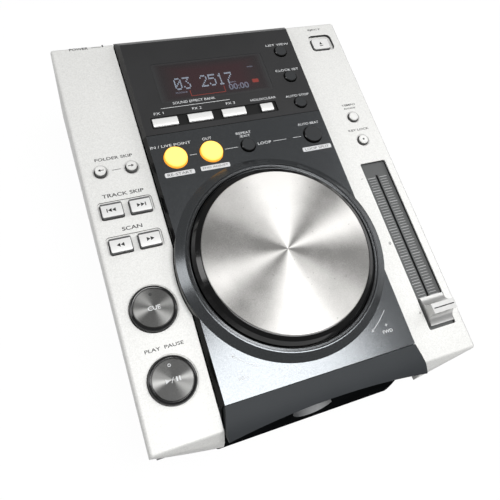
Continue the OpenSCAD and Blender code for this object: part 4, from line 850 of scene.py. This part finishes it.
def transport_symbols():
    """Symbols on the track and search keys."""
    key_symbols(
        "track_back_symbol", "track_back_button", LEFT_X - PAIR, TRACK_V, KEY_TOP,
        [("bar", -3.0, 0), ("triangle", -0.9, LEFT), ("triangle", 1.6, LEFT)], ink_key,
    )
    key_symbols(
        "track_forward_symbol", "track_forward_button", LEFT_X + PAIR, TRACK_V, KEY_TOP,
        [("triangle", -1.6, RIGHT), ("triangle", 0.9, RIGHT), ("bar", 3.0, 0)], ink_key,
    )
    key_symbols(
        "search_back_symbol", "search_back_button", LEFT_X - PAIR, SEARCH_V, KEY_TOP,
        [("triangle", -1.1, LEFT), ("triangle", 1.3, LEFT)], ink_key,
    )
    key_symbols(
        "search_forward_symbol", "search_forward_button", LEFT_X + PAIR, SEARCH_V, KEY_TOP,
        [("triangle", -1.3, RIGHT), ("triangle", 1.1, RIGHT)], ink_key,
    )


def eject_symbol():
    """Triangle over a bar on the eject key."""
    work = Work()
    h = -0.9
    work.wedge(RIGHT_X, 253.6, 1.5, h, h + PRINT, math.pi / 2)
    work.slab(RIGHT_X, 251.6, 2.9, 0.6, h, h + PRINT)
    return work.done("eject_symbol", ink_key, "eject_button")


def folder_symbols():
    """Arrows on the folder keys, and the lamp in the key lock key."""
    for name, side, turn in (("back", -1, LEFT), ("forward", 1, RIGHT)):
        work = Work()
        work.wedge(LEFT_X + side * 10.3, FOLDER_V, 1.1, 2.35, 2.43, turn)
        work.slab(LEFT_X + side * 8.7, FOLDER_V, 2.2, 0.45, 2.35, 2.43)
        work.done(f"folder_{name}_symbol", ink_key, f"folder_{name}_button")
    work = Work()
    work.disc(RIGHT_X, KEY_LOCK_V, 0.75, 1.4, 1.4 + PRINT)
    work.done("key_lock_lamp", ink_key, "key_lock_button")


def cap_marks():
    """Lettering and lamps on the two spun caps."""
    face = CAP_H
    work = Work()
    work.text("CUE", LEFT_X + 0.3, 79.0, 7.6, 2.6, face, face + PRINT)
    work.done("cue_lettering", ink_white, "cue_button")
    work = Work()
    work.wedge(LEFT_X - 3.4, 36.2, 1.5, face, face + PRINT, RIGHT)
    work.slab(LEFT_X - 0.2, 36.2, 0.35, 3.4, face, face + PRINT, -0.5)
    for x in (2.3, 4.0):
        work.slab(LEFT_X + x, 36.2, 0.9, 2.6, face, face + PRINT)
    work.done("play_symbol", ink_white, "play_button")
    for name, v, shell in (("cue", 87.4, ink_key), ("play", 44.6, ink_white)):
        work = Work()
        work.ring(
            [(0.6, face), (0.95, face), (0.95, face + 0.05), (0.6, face + 0.05)], LEFT_X, v, 24,
        )
        work.done(f"{name}_lamp_rim", shell, f"{name}_button")
        work = Work()
        work.disc(LEFT_X, v, 0.6, face, face + PRINT, 16)
        work.done(f"{name}_lamp", lamp_dark, f"{name}_button")


def knob_line():
    """Pointer line across the fader's knob."""
    work = Work()
    work.slab(RIGHT_X, 31, 15.6, 0.75, 10.2, 10.2 + PRINT)
    return work.done("knob_line", ink_key, "fader_knob")


def loop_lamp():
    """Lamp between the loop keys."""
    work = Work()
    work.disc(33.3, LOOP_V, 0.7, DECK_H, DECK_H + PRINT, 16)
    return work.done("loop_lamp", lamp_dark, "housing")


def socket_rims():
    """Coloured insulators in the phono sockets."""
    colours = {
        22: ("insulator_white", (0.75, 0.75, 0.73)), 41: ("insulator_red", (0.55, 0.02, 0.02)),
        56: ("insulator_orange", (0.75, 0.22, 0.02)),
    }
    _, jack_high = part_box("audio_jacks")
    face = jack_high[1] / MM
    height = 36.0
    for x, (name, colour) in colours.items():
        work = Work()
        work.ring([(1.7, 0), (3.1, 0), (3.1, 9), (1.7, 9)], 0, 0, 48)
        turn = Matrix.Rotation(math.radians(-90), 4, "X")
        placing = LEVEL @ Matrix.Translation((x, face - 9.6, height)) @ turn
        finish = grained(name, colour, 0.35)
        work.done(name, finish, "housing", placing=placing)


cover_legends()
fader_scale_marks()
fader_ticks()
deck_legends()
deck_label_bars()
bar_lettering()
direction_marks()
display_characters()
display_small_marks()
display_red_marks()
transport_symbols()
eject_symbol()
folder_symbols()
cap_marks()
knob_line()
loop_lamp()
socket_rims()


# ---------------------------------------------------------------- Studio
def floor():
    """Pale floor that the camera and clear or glossy pieces see as white."""
    mesh = bpy.data.meshes.new("floor")
    bm = bmesh.new()
    bmesh.ops.create_circle(bm, cap_ends=True, radius=5, segments=64)
    bm.to_mesh(mesh)
    bm.free()
    made = Finish("floor_white", Roughness=0.9, Specular_IOR_Level=0.2)
    clouds = made.noise(3, 2)
    made.feed("Base Color", made.mix(clouds, (0.40, 0.40, 0.40), (0.43, 0.43, 0.43)))
    path = made.tree.nodes.new("ShaderNodeLightPath")
    seen = Wire(made, path.outputs["Is Camera Ray"]) + Wire(made, path.outputs["Is Glossy Ray"])
    seen = seen + Wire(made, path.outputs["Is Transmission Ray"])
    bright = made.node("Emission", {}, {"Color": (1, 1, 1, 1), "Strength": 1.08})
    blend = made.node(
        "MixShader", {}, {0: seen.limit() * 0.9, 1: Wire(made, made.shader.outputs[0]), 2: bright},
    )
    out = made.tree.nodes["Material Output"]
    made.tree.links.new(blend.socket, out.inputs["Surface"])
    mesh.materials.append(made.material)
    holder = bpy.data.objects.new("floor", mesh)
    bpy.context.scene.collection.objects.link(holder)


def lamp(name, centre, target, size, radiance):
    """Rectangular soft light at a centre, facing a target, with the radiance it shows."""
    data = bpy.data.lights.new(name, "AREA")
    data.shape = "RECTANGLE"
    data.size, data.size_y = size
    data.energy = radiance * math.pi * size[0] * size[1]
    holder = bpy.data.objects.new(name, data)
    holder.location = centre
    aim = (Vector(target) - Vector(centre)).to_track_quat("-Z", "Y")
    holder.rotation_mode = "QUATERNION"
    holder.rotation_quaternion = aim
    bpy.context.scene.collection.objects.link(holder)


AMBIENT = 0.20          # strength of the surroundings on the object


def studio():
    """White surroundings of low strength on the object, and three soft lights."""
    world = bpy.data.worlds.new("studio")
    world.use_nodes = True
    tree = world.node_tree
    path = tree.nodes.new("ShaderNodeLightPath")
    seen = tree.nodes.new("ShaderNodeMath")
    seen.operation = "MAXIMUM"
    tree.links.new(path.outputs["Is Camera Ray"], seen.inputs[0])
    tree.links.new(path.outputs["Is Transmission Ray"], seen.inputs[1])
    level = tree.nodes.new("ShaderNodeMapRange")
    level.inputs["To Min"].default_value = AMBIENT
    level.inputs["To Max"].default_value = 1.0
    tree.links.new(seen.outputs[0], level.inputs["Value"])
    background = tree.nodes["Background"]
    background.inputs["Color"].default_value = (1, 1, 1, 1)
    tree.links.new(level.outputs[0], background.inputs["Strength"])
    bpy.context.scene.world = world
    lamp("main_soft", (0.13, -0.24, 0.96), (0.02, -0.06, 0.08), (0.62, 0.34), 10.0)
    lamp("right_soft", (0.80, 0.12, 0.64), (0.02, 0.0, 0.08), (0.50, 0.56), 2.6)
    lamp("left_soft", (-0.78, 0.16, 0.62), (0.0, -0.02, 0.08), (0.30, 0.34), 4.0)


# The camera's place and directions, in the sloping top's own axes
CAMERA_SPOT = (-118.8, 8.14, 301.62)
CAMERA_RIGHT = (0.9278, -0.3051, 0.2148)
CAMERA_UP = (0.2178, 0.9103, 0.3521)


def camera():
    """Camera high over the left front, turned so that the player leans to the left."""
    data = bpy.data.cameras.new("camera")
    data.sensor_width = 36
    data.lens = 37.28
    holder = bpy.data.objects.new("camera", data)
    right = SLOPE.to_3x3() @ Vector(CAMERA_RIGHT)
    up = SLOPE.to_3x3() @ Vector(CAMERA_UP)
    back = right.cross(up).normalized()
    up = back.cross(right.normalized())
    turn = Matrix((right.normalized(), up, back)).transposed()
    holder.matrix_world = Matrix.Translation(TOP @ Vector(CAMERA_SPOT)) @ turn.to_4x4()
    bpy.context.scene.collection.objects.link(holder)
    bpy.context.scene.camera = holder


floor()
studio()
camera()
bpy.context.scene.view_settings.view_transform = "Standard"
